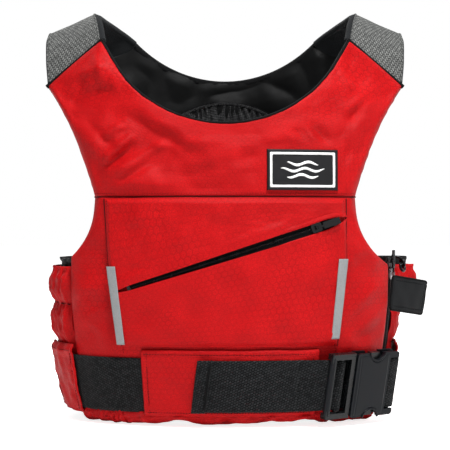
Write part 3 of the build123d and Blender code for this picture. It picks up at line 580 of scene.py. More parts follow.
# first colour: painted shade in the gaps; second: the floats' yarn, painted lit
WEB_GREY = webbing("webbing_grey", (0.014, 0.015, 0.015), (0.235, 0.24, 0.23), pitch=2.9, run=4.0,
                   turn=32.0, fleck=0.8, depth=0.0013, spec=0.2)
WEB_BLACK = webbing("webbing_black", (0.0004, 0.0005, 0.0006), (0.036, 0.038, 0.040),
                    pitch=2.3, run=2.9, turn=-24.0, depth=0.0011, spec=0.06, rough=0.7)
WEB_BELT = webbing("webbing_belt", (0.0004, 0.0005, 0.0006), (0.032, 0.033, 0.034),
                   pitch=2.3, run=2.7, turn=24.0, depth=0.0011, spec=0.06, rough=0.7)
PLASTIC = moulded("acetal_black", (0.003, 0.004, 0.0055), rough=0.38, grain=0.3, spec=0.17)
GLOSSY = moulded("acetal_glossy", (0.004, 0.0045, 0.005), rough=0.24, grain=0.12, coat=0.15,
                 spec=0.25)
RUBBER = moulded("rubber_black", (0.006, 0.006, 0.007), rough=0.5, grain=0.3, spec=0.25)
WHITE = moulded("rubber_white", (0.80, 0.80, 0.79), rough=0.5, grain=0.2)
ENAMEL = moulded("enamel_black", (0.002, 0.002, 0.0025), rough=0.2, grain=0.2, coat=0.12, spec=0.2)
NICKEL = moulded("nickel", (0.58, 0.58, 0.60), rough=0.28, grain=0.2, metallic=1.0)


def reflective_tape():
    n = Nodes("reflective_tape", 0.45, Specular_IOR_Level=0.6)
    at = n.cloth()
    beads = n.add("ShaderNodeTexVoronoi", out=0, Vector=at, Scale=1.6)
    broad = n.noise(at, 0.08, 2.0)
    n.set(n.b, "Base Color", n.mix(n.ramp(n.math("ADD", beads, n.math("MULTIPLY", broad, 0.6)),
                                          0.3, 1.1),
                                   (0.27, 0.275, 0.28), (0.20, 0.205, 0.21)))
    n.set(n.b, "Normal", n.bump(beads, 0.3, 0.0002))
    return n.m


REFLECT = reflective_tape()


# ---------------------------------------------------------------- foam blocks: covers and linings
def surf(x, z, d, side=-1):
    """Point at front-view (x, z), d outside the cover of the front (-1) or back (1)."""
    x, z, d = np.broadcast_arrays(np.asarray(x, float), z, d)
    y = front_y(x, z, d)
    keep = np.stack([x, y, z], -1)
    ax = np.abs(x)
    big, small = CHEST_R - taper(z), SIDE_R - taper(z)
    chest = ax <= big * math.sin(HALF)
    sa = np.where(chest, ax / big, np.clip((ax - SIDE_X) / small, 0, 0.9999))
    ca = np.sqrt(1 - sa**2)
    rx = np.where(chest, (big + d) * sa, SIDE_X + (small + d) * sa)
    ry = np.where(chest, CHEST_SET - (big + d) * ca, -(small + d) * ca)
    radial = np.stack([np.sign(x) * rx, ry, z], -1)
    t = smooth((z - 175.0) / 46.0)[..., None]
    P = radial * (1 - t) + keep * t
    return P * np.array([1.0, -side, 1.0])


def drop(e, r):
    """Fall of a rounded edge of radius r, at distance e in from it."""
    r = np.broadcast_to(np.asarray(r, float), e.shape)
    g = np.clip(r - e, 0, r)
    return r - np.sqrt(np.maximum(r**2 - g**2, 0))


def edge_path(side, sign):
    """Side edge of a lower block in front view, from the hem up round the armhole."""
    head = (FRONT_EDGES if side < 0 else BACK_EDGES)[0 if sign < 0 else 1]
    arc = arc3((126.5, 221.0), (138.5, 183.0), (172.0, 151.0), 90)
    pts = []
    for x, z in arc:
        if x >= abs(float(oval(head, z, 0)[0])):
            break
        pts.append((sign * x, z))
    for zz in np.linspace(pts[-1][1] - 1.0, HEM_Z, 40):
        pts.append((float(oval(head, zz, 0)[0]), zz))
    return path(pts[::-1])


def yoke_side(side, sign):
    """Armhole and shoulder edge of a yoke in front view, from the chest seam up."""
    outer, mid, inner = (((178.5, 334.0), (146.0, 278.0), (122.5, 377.0)) if side < 0 else
                         ((156.0, 352.0), (133.5, 285.0), (97.0, 389.0)))
    arc = [(sign * x, z) for x, z in arc3((126.5, 221.0), mid, outer, 40)]
    return path(arc + [(sign * inner[0], inner[1])])


def neck_points(side):
    """Neck opening in front view, from shoulder to shoulder."""
    if side < 0:
        arc = [tuple(p) for p in arc3((-105.0, 347.0), (0, 291.0), (105.0, 347.0), 60)]
        return [(-122.5, 377.0)] + arc + [(122.5, 377.0)]
    return [tuple(p) for p in arc3((-97.0, 389.0), (0, 348.6), (97.0, 389.0), 60)]


def grid_of(side, bottom, top, left, right, step, fine_u, fine_v):
    """Front-view grid, with the distance of every point from its four edges."""
    W = max(lengths(surf(*bottom(np.linspace(0, 1, 60)).T, 0, side)[None], 1)[-1], 10)
    H = lengths(surf(*left(np.linspace(0, 1, 60)).T, 0, side)[None], 1)[-1]
    G = coons(bottom, top, left, right, spaced(W, step, fine=fine_u), spaced(H, step, fine=fine_v))
    base = surf(G[..., 0], G[..., 1], 0.0, side)
    du = np.linalg.norm(np.diff(base, axis=1), axis=-1)
    dv = np.linalg.norm(np.diff(base, axis=0), axis=-1)
    zero_u, zero_v = np.zeros((base.shape[0], 1)), np.zeros((1, base.shape[1]))
    eL = np.concatenate([zero_u, np.cumsum(du, 1)], 1)
    eB = np.concatenate([zero_v, np.cumsum(dv, 0)], 0)
    return G, eL, eL[:, -1:] - eL, eB, eB[-1:] - eB


def panel(name, side, grid, radius, r_low, r_high, wrinkle, mat, slot, nodes, thick=1.0):
    """Cover of a block, wrapped round its side edges to the lining."""
    G, eL, eR, eB, eT = grid
    x, z = G[..., 0], G[..., 1]
    depth = depth_at(z)
    r = np.minimum(radius, 0.42 * depth)
    d = -drop(eL, r) - drop(eR, r) - drop(eB, r_low) - drop(eT, r_high)
    fade = smooth(np.minimum.reduce([eL, eR, eB + 4, eT + 4]) / 20.0)
    bump_ = wrinkle(x, z) * fade
    if side < 0:
        calm = np.maximum(np.abs(x - 74.0) - 36.0, np.abs(z - 246.5) - 21.0)
        hidden = np.maximum(np.abs(x) - 104.0, np.maximum(z - 216.0, 24.0 - z))
        bump_ = bump_ * smooth(calm / 12.0) * (0.2 + 0.8 * smooth(hidden / 14.0))
    under_belt = 0.12 + 0.88 * smooth((z - 68.0) / 10.0)
    bump_ = np.where(z < SEAM_Z, (bump_ + 0.5) * under_belt - 0.5, bump_)
    d = d + np.where(bump_ < -2.0, -2.0 + 2.2 * np.tanh((bump_ + 2.0) / 2.2), bump_)
    P = surf(x, z, d, side)
    rows = []
    for col in (0, -1):
        bottom = -(depth[:, col] - TURN)
        top = d[:, col]
        ramp_ = np.linspace(0, 1, 9)[1:]
        lev = top[:, None] + (bottom - top)[:, None] * ramp_[None]
        near_end = smooth(np.minimum(eB[:, col], eT[:, col]) / 15.0)[:, None]
        bulge = 1.1 * np.sin(np.pi * ramp_)[None] * near_end
        n_rows = len(top)
        crumple = 0.5 * ripple(np.arange(n_rows)[:, None] * 2.2, lev, 5 + col, 16.0)
        out = (bulge + crumple * np.sin(np.pi * ramp_)[None])
        Q = surf(x[:, col, None], z[:, col, None], lev, side)
        inward = P[:, 4 if col == 0 else -5] - P[:, col]
        inward[:, 1] = 0
        inward /= np.maximum(np.linalg.norm(inward, axis=1, keepdims=True), 1e-6)
        Q = Q - inward[:, None, :] * out[..., None]
        rows.append(Q)
    P = np.concatenate([rows[0][:, ::-1], P, rows[1]], axis=1)
    cloth(name, P, thick, mat, slot, nodes, out=1 if side < 0 else -1)


def lining(name, side, grid, wrinkle, nodes, radius=5.0):
    """Black cloth on the inner face of a block or yoke."""
    G, eL, eR, eB, eT = grid
    x, z = G[..., 0], G[..., 1]
    d = -depth_at(z) + drop(eL, radius) + drop(eR, radius) + drop(eB, 2.0) + drop(eT, 2.0)
    fade = smooth(np.minimum.reduce([eL, eR, eB + 3, eT + 3]) / 16.0)
    d = d - np.abs(wrinkle(x, z)) * fade
    P = surf(x, z, d, side)
    return cloth(name, P, 1.0, LINING, "black_lining", nodes, out=-1 if side < 0 else 1)


def foam(name, side, grid, outer, inner, nodes, inset=6.0):
    """Foam slab between two depths, inside the cloth."""
    G, eL, eR = grid[:3]
    keep_v = slice(3, -3, 3)
    x, z = G[keep_v, 3:-3:3, 0], G[keep_v, 3:-3:3, 1]
    depth = depth_at(z)
    mid = (outer(depth) + inner(depth)) / 2
    half = np.maximum((outer(depth) - inner(depth)) / 2, 0.8)
    near = np.minimum(eL[keep_v, 3:-3:3], eR[keep_v, 3:-3:3])
    half = half * (0.25 + 0.75 * smooth((near - inset) / 10.0))
    top, low = mid + half, mid - half
    me = shell(name, surf(x, z, top, side), surf(x, z, low, side), 1 if side < 0 else -1)
    obj = add_object(name, me, FOAM, nodes)
    return obj


def tube(name, run, radius, mat, nodes=(), body="jacket", sides=10, closed=False):
    """Round cord mesh along points."""
    pts = np.asarray(run, float)
    t = np.gradient(pts, axis=0)
    t /= np.linalg.norm(t, axis=1, keepdims=True)
    ref = np.array([0.0, 0.0, 1.0]) if abs(t[:, 2]).mean() < 0.8 else np.array([0.0, 1.0, 0.0])
    a = np.cross(t, ref)
    a /= np.linalg.norm(a, axis=1, keepdims=True)
    b = np.cross(t, a)
    ang = np.arange(sides) * 2 * math.pi / sides
    rad = np.broadcast_to(radius, (len(pts),))
    ring = (a[:, None] * np.cos(ang)[None, :, None] + b[:, None] * np.sin(ang)[None, :, None])
    V = pts[:, None] + ring * rad[:, None, None]
    n = len(pts)
    faces = []
    for i in range(n if closed else n - 1):
        j = (i + 1) % n
        for k in range(sides):
            q = (k + 1) % sides
            faces.append((i * sides + k, j * sides + k, j * sides + q, i * sides + q))
    if not closed:
        faces.append(tuple(range(sides)))
        faces.append(tuple((n - 1) * sides + k for k in range(sides))[::-1])
    me = bpy.data.meshes.new(name)
    me.from_pydata((V.reshape(-1, 3) * MM).tolist(), [], faces)
    bm = bmesh.new()
    bm.from_mesh(me)
    bmesh.ops.recalc_face_normals(bm, faces=bm.faces)
    bm.to_mesh(me)
    bm.free()
    s = np.concatenate([[0], np.cumsum(np.linalg.norm(np.diff(pts, axis=0), axis=1))])
    layer = me.uv_layers.new(name="cloth")
    vi = np.zeros(len(me.loops), int)
    me.loops.foreach_get("vertex_index", vi)
    uv = np.stack([s[vi // sides], (vi % sides) * radius * 6.28 / sides
                   if np.ndim(radius) == 0 else (vi % sides) * 0.5], 1) * UV_PER_MM
    layer.data.foreach_set("uv", uv.ravel())
    smooth_mesh(me)
    return add_object(name, me, mat, nodes, body)


def rough(seed, big=1.3, mid=0.7, small=0.3):
    """Wrinkles at three scales, as a function of front-view x and z."""
    return lambda x, z: (big * ripple(x, z, seed, 70.0, 7) + mid * ripple(x, z, seed + 1, 28.0, 9)
                         + small * ripple(x, z, seed + 2, 11.0, 11))


YOKE_CREASES = [(-118.6, 254.8, -86.1, 281.9, 4.0, 4.6), (-111.9, 239.8, -50.8, 276.4, 5.0, 4.2),
                (-116.0, 248.0, -84.0, 273.0, 3.4, -3.2), (-104.0, 234.0, -48.0, 266.0, 4.0, -3.0),
                (-118.7, 277.8, -98.3, 291.3, 3.4, 3.3), (-96.0, 300.0, -30.0, 262.0, 5.0, -2.6),
                (-60.0, 262.0, 10.0, 284.0, 7.0, 2.2), (-40.0, 240.0, 36.0, 262.0, 7.0, -2.4),
                (120.0, 246.0, 132.0, 290.0, 5.0, 2.6), (112.0, 300.0, 150.0, 330.0, 5.0, 2.4),
                (-150.0, 338.0, -112.0, 352.0, 4.5, 2.6), (-128.0, 362.0, -118.0, 326.0, 4.5, 3.0),
                (-138.0, 345.6, -148.4, 309.3, 4.5, -3.6),
                (-126.0, 331.0, -113.0, 318.0, 9.0, -3.3), (110.2, 345.6, 125.1, 326.7, 4.5, 3.3),
                (117.0, 349.6, 131.2, 328.7, 3.6, -3.6), (66.8, 287.3, 85.8, 267.0, 3.2, -2.8),
                (80.3, 292.8, 102.0, 269.6, 3.4, -2.8), (60.0, 285.0, 40.0, 268.0, 6.0, 1.8),
                (-70.0, 296.0, -20.0, 268.0, 8.0, 2.2), (134.0, 300.0, 108.0, 262.0, 6.0, 2.5),
                (-140.0, 300.0, -100.0, 262.0, 5.0, -1.8), (146.0, 330.0, 120.0, 292.0, 4.0, -2.2)]
BLOCK_CREASES = [(-132.0, 129.0, -124.0, 112.0, 8.0, -3.0), (-140.0, 104.0, -112.0, 90.0, 5.0, 1.4),
                 (-134.0, 168.0, -112.0, 150.0, 6.0, 1.2), (150.0, 140.0, 124.0, 118.0, 6.0, 1.5),
                 (140.0, 170.0, 118.0, 190.0, 5.0, -1.4), (152.0, 92.0, 122.0, 84.0, 5.0, -1.2)]
yoke_rough, block_rough = rough(11, 2.6, 0.75, 0.12), rough(21, 1.9, 0.8, 0.2)


def front_block_wrinkle(x, z):
    return block_rough(x, z) + folds(x, z, BLOCK_CREASES)


def front_yoke_wrinkle(x, z):
    return yoke_rough(x, z) + folds(x, z, YOKE_CREASES)


for side, face in ((-1, "front"), (1, "back")):
    seam = path([(-126.5, 220.6), (126.5, 220.6)])
    left, right = edge_path(side, -1), edge_path(side, 1)
    lo, hi = left(np.array([0.0]))[0], right(np.array([0.0]))[0]
    hem_line = path([(x, HEM_Z) for x in np.linspace(lo[0], hi[0], 40)])
    grid = grid_of(side, hem_line, seam, left, right, 2.6, 0.9, 0.4)
    wrinkle = front_block_wrinkle if side < 0 else rough(31, 1.6, 0.9, 0.3)
    panel(f"{face}_cover_cloth", side, grid, 10.0, 5.0, 2.4, wrinkle, RED, "red_cloth",
          [f"{face}_cover"])
    lining(f"{face}_lining_cloth", side, grid, rough(41 + side, 1.0, 0.9, 0.35), [f"{face}_lining"])
    foam(f"{face}_foam_outer_slab", side, grid, lambda q: -6.0 + 0 * q, lambda q: -15.2 + 0 * q,
         [f"{face}_foam_outer"])
    foam(f"{face}_foam_inner_slab", side, grid, lambda q: -16.4 + 0 * q, lambda q: -28.6 + 0 * q,
         [f"{face}_foam_inner"])
    low = path([(-126.5, 221.4), (126.5, 221.4)])
    grid = grid_of(side, low, path(neck_points(side)), yoke_side(side, -1), yoke_side(side, 1),
                   2.5, 0.9, 0.4)
    wrinkle = front_yoke_wrinkle if side < 0 else rough(51, 1.3, 0.9, 0.35)
    panel(f"{face}_yoke_cloth", side, grid, 9.0, 2.4, 3.0, wrinkle, RED_PLAIN, "red_cloth",
          [f"{face}_yoke_cover"])
    lining(f"{face}_yoke_lining_cloth", side, grid, rough(61 + side, 2.4, 0.35, 0.05),
           [f"{face}_yoke_lining"], radius=4.0)
    foam(f"{face}_yoke_slab", side, grid, lambda q: -6.2 + 0 * q, lambda q: -q + 4.6,
         [f"{face}_yoke_foam"])

    # piping where the cover meets the lining, and the binding round the neck
    for sign, word in ((-1, "left"), (1, "right")):
        for part, f in (("block", edge_path(side, sign)), ("yoke", yoke_side(side, sign))):
            t = np.linspace(0.004, 0.996, 110 if part == "block" else 90)
            xz = f(t)
            run = surf(xz[:, 0], xz[:, 1], -(depth_at(xz[:, 1]) - TURN), side)
            tube(f"{face}_{part}_piping_{word}", run, 1.1, TAPE)
    f = path(neck_points(side))
    t = np.linspace(0, 1, 170)
    xz = f(t)
    tangent = np.gradient(xz, axis=0)
    tangent /= np.linalg.norm(tangent, axis=1, keepdims=True)
    inward = np.stack([tangent[:, 1], -tangent[:, 0]], 1)
    for _ in range(6):
        inward[1:-1] = (inward[:-2] + inward[1:-1] * 2 + inward[2:]) / 4
    inward /= np.linalg.norm(inward, axis=1, keepdims=True)
    D = depth_at(xz[:, 1])
    section = [(1.0, -2.2, 0), (0.6, -1.5, 0), (0.0, -1.6, 0), (-0.4, -2.2, 0), (-0.6, -3.0, 0),
               (-0.7, -3.6, 0), (-0.8, -4.2, 0), (-1.1, 4.2, 1), (-0.7, 2.4, 1), (0.4, 0.9, 1),
               (1.6, -0.2, 1), (3.0, -0.55, 1), (4.4, -0.5, 1), (4.6, 0.35, 1)]
    rows = []
    for off, level, deep in section:
        wob = 0.25 * ripple(t * 330.0, off, 71, 14.0)
        rows.append(surf(xz[:, 0] + inward[:, 0] * off, xz[:, 1] + inward[:, 1] * off,
                         (level + wob if not deep else -D + level - wob), side))
    cloth(f"{face}_neck_tape", np.array(rows), 0.8, TAPE, "black_tape", [f"{face}_neck_binding"],
          out=-1 if side < 0 else 1)


# ---------------------------------------------------------------- bands that follow the oval
def band(name, h, z, d, thick, mat, slot, nodes=(), held="stretched", sheet=True, loop=False):
    """Cloth on a grid of headings, heights and levels; h, z and d broadcast to one shape."""
    P = oval(*np.broadcast_arrays(np.asarray(h, float), z, d))
    return cloth(name, P, thick, mat, slot, nodes, out=1, held=held, sheet=sheet, loop=loop)


def spread(a, b, step, fine=0.0):
    """Values from a to b about a step apart, closer together at both ends if fine."""
    n = max(4, int(abs(b - a) / step) + 1)
    t = np.linspace(0, 1, n)
    if fine:
        t = t - fine * np.sin(2 * math.pi * t) / (2 * math.pi)
    return a + (b - a) * t


ARC_MM = 5.24          # mm of the chest's arc per degree of heading
for face, h0, h1, seed in (("front", *FRONT_EDGES, 81), ("back", 395.0, 505.0, 91)):
    h = spread(h0, h1, 0.42)
    s = h * 3.9
    section = [(-0.8, 15.5), (0.4, 13.6), (1.1, 11.0), (1.3, 8.0), (0.7, 5.0), (-0.8, 2.6),
               (-3.6, 0.9), (-8.0, 0.2), (-14.0, 0.0), (-19.0, 0.3), (-23.0, 1.4), (-25.6, 3.6),
               (-26.6, 7.0), (-26.6, 10.5), (-25.8, 13.4)]
    pucker = ripple(s, 0 * s, seed, 17.0, 8)
    swell = ripple(s, 0 * s, seed + 1, 48.0, 5)
    ends = smooth(np.minimum(h - h0, h1 - h) / 2.5)
    rows_z, rows_d = [], []
    for i, (lev, zz) in enumerate(section):
        low = max(0.0, 1 - zz / 13.0)
        sway = ripple(s + zz * 0.8, zz * 2.0 + 0 * s, seed + 2, 10.0, 7)
        out = (1.9 * pucker + 1.3 * swell) * min(1.0, 0.25 + low) + 0.8 * sway
        rows_d.append(lev + (1.5 * out if lev > -12 else -0.6 * out) * ends)
        lift = low * (2.4 + 2.2 * swell + 0.9 * pucker) * ends
        rows_z.append(zz + lift + (0.3 if zz > 1 else 0.0))
    z_, d_ = np.array(rows_z), np.array(rows_d)
    z_ = np.maximum(z_, 0.05)
    # the hem wears the darker copy of the ripstop: painted shade
    band(f"{face}_hem_roll", h[None], z_[::-1], d_[::-1], 1.0, RED_SHADED, "hem_cloth",
         [f"{face}_hem"], held="gathered")

def slack(h, z):
    """How far the loose upper edge of the right side stands out."""
    return 29.0 * smooth((h - 8.5) / 8.0) * smooth((35.4 - h) / 13.0) * smooth((z - 84.0) / 62.0)


# gathered elastic sides, with their black linings standing above them
for word, h0, h1, seed in (("left", 144.6, 217.0, 101), ("right", -15.4, 35.4, 111)):
    H, Z = np.meshgrid(spread(h0, h1, 0.45), spread(8.0, 153.0, 1.9))
    S = H * 1.98
    profile = np.interp(Z, [8, 14, 30, 52, 66, 74, 80, 92, 104, 112, 116, 120, 130, 142, 148, 153],
                        [-1.5, 1.0, 2.4, 2.0, 0.8, -1.6, -0.6, 2.2, 2.0, -0.8, -3.0, -0.8, 2.2, 1.4,
                         -1.6, -2.4])
    warp = 5.0 * ripple(S * 0.5, Z, seed + 7, 46.0, 6) + 0.6 * np.sin(Z / 6.1 + H * 0.21)
    drift = 0.7 * ripple(S, Z * 0.4, seed, 32.0)
    gathers = np.abs(np.sin((S + warp) * math.pi / 12.5 + drift)) - 0.55
    cinch = bell(Z - 116, 5.0) + bell(Z - 75, 5.0) + bell(Z - 150, 5.0)
    tight = 1.1 * np.abs(np.sin((S + warp * 0.4) * math.pi / 5.2)) * np.clip(cinch, 0, 1)
    crumple = 1.1 * ripple(S, Z, seed + 3, 19.0, 11) + 0.5 * ripple(S, Z, seed + 4, 8.0, 11)
    edges = smooth(np.minimum(H - h0, h1 - H) / 4.0)
    # flat under the loop patch
    flat = (smooth((11.0 - np.abs(H)) / 4.0) * smooth((17.0 - np.abs(Z - 126.0)) / 4.0)
            * (word == "right"))
    gathered = 2.6 * gathers * (1 - 0.6 * np.clip(cinch, 0, 1)) - tight + crumple
    d = profile + gathered * edges - 5.0 * (1 - edges)
    belted = 1 - smooth((Z - 67.0) / 5.0)
    d = np.minimum(d, 6.2) * (1 - flat) - 0.6 * flat
    d = d * (1 - belted) + np.minimum(0.35 * d - 1.6, -0.5) * belted
    loose = slack if word == "right" else lambda h, z: 0.0
    d = d + loose(H, Z)
    # the gathered sides wear the darker copy of the ripstop: painted shade
    band(f"side_panel_{word}_cloth", H, Z, d, 1.0, RED_SHADED, "red_cloth", [f"side_panel_{word}"],
         held="gathered")
    H, Z = np.meshgrid(spread(h0 + 0.6, h1 - 0.6, 0.9), spread(12.0, 161.5, 2.4))
    top_fold = 1.6 * bell(Z - 160.0, 3.0)
    uneven = 0.8 * ripple(H * 1.98, Z, seed + 6, 16.0) * smooth((Z - 12) / 9.0)
    level = -10.2 + top_fold + uneven + loose(H, Z)
    band(f"side_lining_{word}_cloth", H, Z, level, 1.2, LINING, "black_lining",
         [f"side_lining_{word}"], held="gathered")
    # drawn elastic at each gathered line, in the darkened thread red: painted shade in the cinched
    # crease
    for k, zz in enumerate((75.5, 116.0)):
        hh = spread(h0 + 2, h1 - 2, 0.5)
        lev = np.interp(zz, [75.5, 116.0], [-1.5, -3.2]) + 0.5 * np.sin(hh * 2.3) + loose(hh, zz)
        P = oval(hh, zz + 0.5 * np.sin(hh * 0.9), lev)
        tube(f"side_elastic_{word}_{k}", P, 0.55, THREAD_RED_SHADED, sides=6)

# cloth loops the belt passes through at the sides
for word, h0, h1, seed in (("left", 184.0, 220.0, 121), ("right", -14.0, 16.0, 131)):
    H, Z = np.meshgrid(spread(h0, h1, 0.5, 0.6), spread(9.0, 77.0, 1.9))
    rim = 1.2 * (bell(H - h0 - 0.8, 0.9) + bell(H - h1 + 0.8, 0.9))
    top = bell(Z - 76.0, 2.2) + bell(Z - 10.0, 2.2)
    d = (4.5 + rim - 2.4 * top + 0.7 * ripple(H * 1.98, Z, seed, 26.0)
         + 0.35 * ripple(H * 1.98, Z, seed + 1, 11.0)
         + 1.0 * bell(Z - 69.0, 3.0))
    band(f"belt_loop_{word}_cloth", H, Z, d, 1.5, RED, "red_cloth", [f"belt_loop_{word}"])
    runs = [oval_run(h0 + 2.6, h0 + 2.6, 12, 74, 4.95), oval_run(h1 - 2.6, h1 - 2.6, 12, 74, 4.95),
            oval_run(h0 + 1.2, h1 - 1.2, 70.6, 70.6, 5.6)]
    stitches(f"belt_loop_{word}_stitches", runs, THREAD_RED_SHADED, pitch=2.9, length=2.3,
             radius=0.38)

# tunnels on the front and back
for word, h0, h1, z1 in (("front", 254.3, 287.6, 75.5), ("back", 430.0, 470.0, 72.0)):
    H, Z = np.meshgrid(spread(h0, h1, 0.36, 0.5), spread(10.0, z1, 1.8))
    eh = np.minimum(H - h0, h1 - H) * ARC_MM
    ez = np.minimum(Z - 10.0, z1 - Z)
    rim = 0.55 * (bell(eh - 2.0, 2.2) + bell(ez - 1.6, 1.6) * smooth(eh / 3))
    d = (3.55 - 1.5 * bell(ez, 1.5) + rim + 0.35 * ripple(H * ARC_MM, Z, 141, 34.0)
         + 0.2 * ripple(H * ARC_MM, Z, 142, 13.0))
    band(f"{word}_tunnel_cloth", H, Z, np.minimum(d, 4.25), 0.9, RED, "red_cloth",
         [f"{word}_belt_tunnel"])
    a, b = h0 + 5.6 / ARC_MM, h1 - 5.6 / ARC_MM
    runs = [oval_run(a, a, 12, z1 - 2, 3.9), oval_run(b, b, 12, z1 - 2, 3.9),
            oval_run(h0 + 0.5, h1 - 0.5, z1 - 5.0, z1 - 5.0, 4.0),
            oval_run(h0 + 0.5, h1 - 0.5, 14.0, 14.0, 4.0)]
    stitches(f"{word}_tunnel_stitches", runs, THREAD_RED_SHADED, pitch=2.7, length=2.2,
             radius=0.38)

# belt webbing and its folded tail
H, Z = np.meshgrid(spread(-14.6, 284.6, 0.8), spread(BELT_LOW, BELT_HIGH, 3.0))
ez = np.minimum(Z - BELT_LOW, BELT_HIGH - Z)
d = 2.3 - 0.8 * bell(ez, 1.0) + 0.35 * ripple(H * 3.6, Z, 151, 60.0)
band("waist_belt_webbing", H, Z, d, 1.7, WEB_BELT, "black_webbing", ["waist_belt"])
H, Z = np.meshgrid(spread(262.9, 283.6, 0.3), spread(TAIL_LOW, TAIL_HIGH, 1.7))
ez = np.minimum(Z - TAIL_LOW, TAIL_HIGH - Z)
lean_h = H + ((Z - 40) * 0.028 + 1.5) * smooth((270.0 - H) / 7.0)
d = 6.5 - 0.8 * bell(ez, 1.0) + 0.25 * ripple(H * ARC_MM, Z, 153, 30.0)
band("strap_tail_webbing", lean_h, Z, d, 1.8, WEB_BLACK, "black_webbing", ["strap_tail"])
t, z = np.linspace(0, 1, 25), spread(14.4, 65.6, 1.7)
T, Z = np.meshgrid(t, z)
width = 2.9
ribs = 0.7 * np.abs(np.sin(T * math.pi * 4))
H = 264.2 + T * width + (Z - 40) * 0.028
d = 9.2 - 1.9 * bell(T, 0.07) - 1.7 * bell(1 - T, 0.05) + ribs
band("strap_tail_fold", H, Z, d, 1.7, WEB_BLACK, "black_webbing")
hh = 264.2 + width - 0.7 + (np.array([18.0, 62.0]) - 40) * 0.028
P = oval(np.linspace(*hh, 30), np.linspace(18, 62, 30), 9.15)
Q = oval(np.linspace(*hh, 30), np.linspace(18, 62, 30), 10.15)
# black tube along the fold's seam: painted shade in the seam
tube("strap_tail_seam_shade", P + (Q - P) * 0.2 + np.array([1.6, 0, 0]), 1.1, TAPE,
     sides=8)
stitches("strap_tail_stitches", [(P, Q - P)], THREAD_BLACK, pitch=3.0, length=2.3,
         radius=0.55)


# ---------------------------------------------------------------- shoulder straps
S_INNER = [(122.0, -64.5, 378.5), (126.5, -43.0, 399.0), (131.0, -8.0, 411.0), (125.0, 26.0, 409.5),
           (112.0, 53.0, 401.5), (98.0, 70.5, 391.0)]
S_OUTER = [(178.0, -45.5, 335.5), (181.0, -33.0, 364.0), (182.5, -8.0, 387.5), (178.5, 19.0, 387.0),
           (168.5, 42.0, 373.5), (156.5, 55.0, 354.0)]


def strap_grid(level, inset, n_along=90, n_across=34, first=-0.04, last=1.04, dome=0.0):
    """Grid across the strap, level below its top face, each edge brought in by inset."""
    a, b = catmull(S_INNER, 160), catmull(S_OUTER, 160)
    t = np.linspace(first, last, n_along)
    k = np.linspace(0, 1, 160)

    def at(c):
        rows = np.stack([np.interp(t, k, c[:, i]) for i in range(3)], -1)
        rows[t < 0] += (c[0] - c[1]) * 159 * (-t[t < 0])[:, None]
        rows[t > 1] += (c[-1] - c[-2]) * 159 * (t[t > 1] - 1)[:, None]
        return rows

    A, B = at(a), at(b)
    across = B - A
    width = np.linalg.norm(across, axis=1, keepdims=True)
    across /= width
    along = np.gradient((A + B) / 2, axis=0)
    n = np.cross(across, along)
    n /= np.linalg.norm(n, axis=1, keepdims=True)
    n *= np.sign(n[len(n) // 2, 2])
    s = np.linspace(0, 1, n_across)
    P = (A + across * inset)[:, None] + (across * (width - 2 * inset))[:, None] * s[None, :, None]
    lev = level + dome * (2 * s - 1) ** 4
    return P - n[:, None] * lev[None, :, None], t


for sign, word in ((-1, "left"), (1, "right")):
    flip = np.array([sign, 1, 1.0])
    P, t = strap_grid(0.0, 2.4, n_across=44)
    wave = 0.5 * np.sin(np.linspace(0, 9, P.shape[1]))[None, :, None] * 0.4
    P = P + np.array([0, 0, 1.0]) * wave
    P = P * flip
    cloth(f"shoulder_webbing_{word}_cloth", P.transpose(1, 0, 2), 1.9, WEB_GREY, "grey_webbing",
          [f"shoulder_webbing_{word}"], out=-sign, held="stretched")
    top, _ = strap_grid(2.5, 1.2, n_across=30, first=-0.02, last=1.03, dome=1.4)
    low, _ = strap_grid(8.3, 1.2, n_across=30, first=-0.02, last=1.03, dome=-1.4)
    top, low = top * flip, low * flip
    me = shell(f"shoulder_pad_{word}_foam", top.transpose(1, 0, 2), low.transpose(1, 0, 2),
               out=-sign)
    obj = add_object(f"shoulder_pad_{word}_foam", me, PAD, [f"shoulder_pad_{word}"])
    # selvage edges of the webbing and the bound edge of the pad
    for inset, lev, r, mat, part in ((3.0, -0.1, 0.8, WEB_GREY, "selvage"),
                                     (2.0, 4.6, 3.6, PAD, "pad_edge")):
        edge, _ = strap_grid(lev, inset, n_across=3, first=0.0, last=1.0)
        for k, where in ((0, "inner"), (-1, "outer")):
            tube(f"shoulder_{part}_{word}_{where}", edge[:, k] * flip, r, mat,
                 sides=8)
    # black tube where the yoke meets the strap: painted shade along the strap's foot
    for k, face in ((0, "front"), (-1, "back")):
        edge, _ = strap_grid(1.0, -0.6, n_across=40, first=-0.02, last=1.015)
        tube(f"shoulder_foot_shade_{word}_{face}", edge[k] * flip, 2.4, TAPE, sides=8)


# ---------------------------------------------------------------- pocket
SLOPE = math.atan2(200.5 - 131.0, 115.0 + 98.9)
MID_Z = 131.0 + 98.9 * math.tan(SLOPE)
POCKET_L = [(-116.0, 219.5), (-111.5, 155.0), (-98.5, 78.0)]
POCKET_R = [(116.0, 219.5), (116.5, 162.0), (107.5, 78.0)]
LIP_X = [-106, -98, -90, -60, 60, 96, 108, 114, 117]
LIP_HALF = [0.5, 1.2, 2.35, 2.7, 4.7, 5.0, 3.6, 1.6, 0.9]    # half the mouth's width there


def lip(x, upper):
    """Edge of a lip of the pocket's mouth at x."""
    half = np.interp(x, LIP_X, LIP_HALF) / math.cos(SLOPE)
    return MID_Z + x * math.tan(SLOPE) + (half if upper else -half)


def side_at(points, z):
    """X of one of the pocket's side seams at height z."""
    pts = sorted(points, key=lambda q: q[1])
    return np.interp(z, [q[1] for q in pts], [q[0] for q in pts])


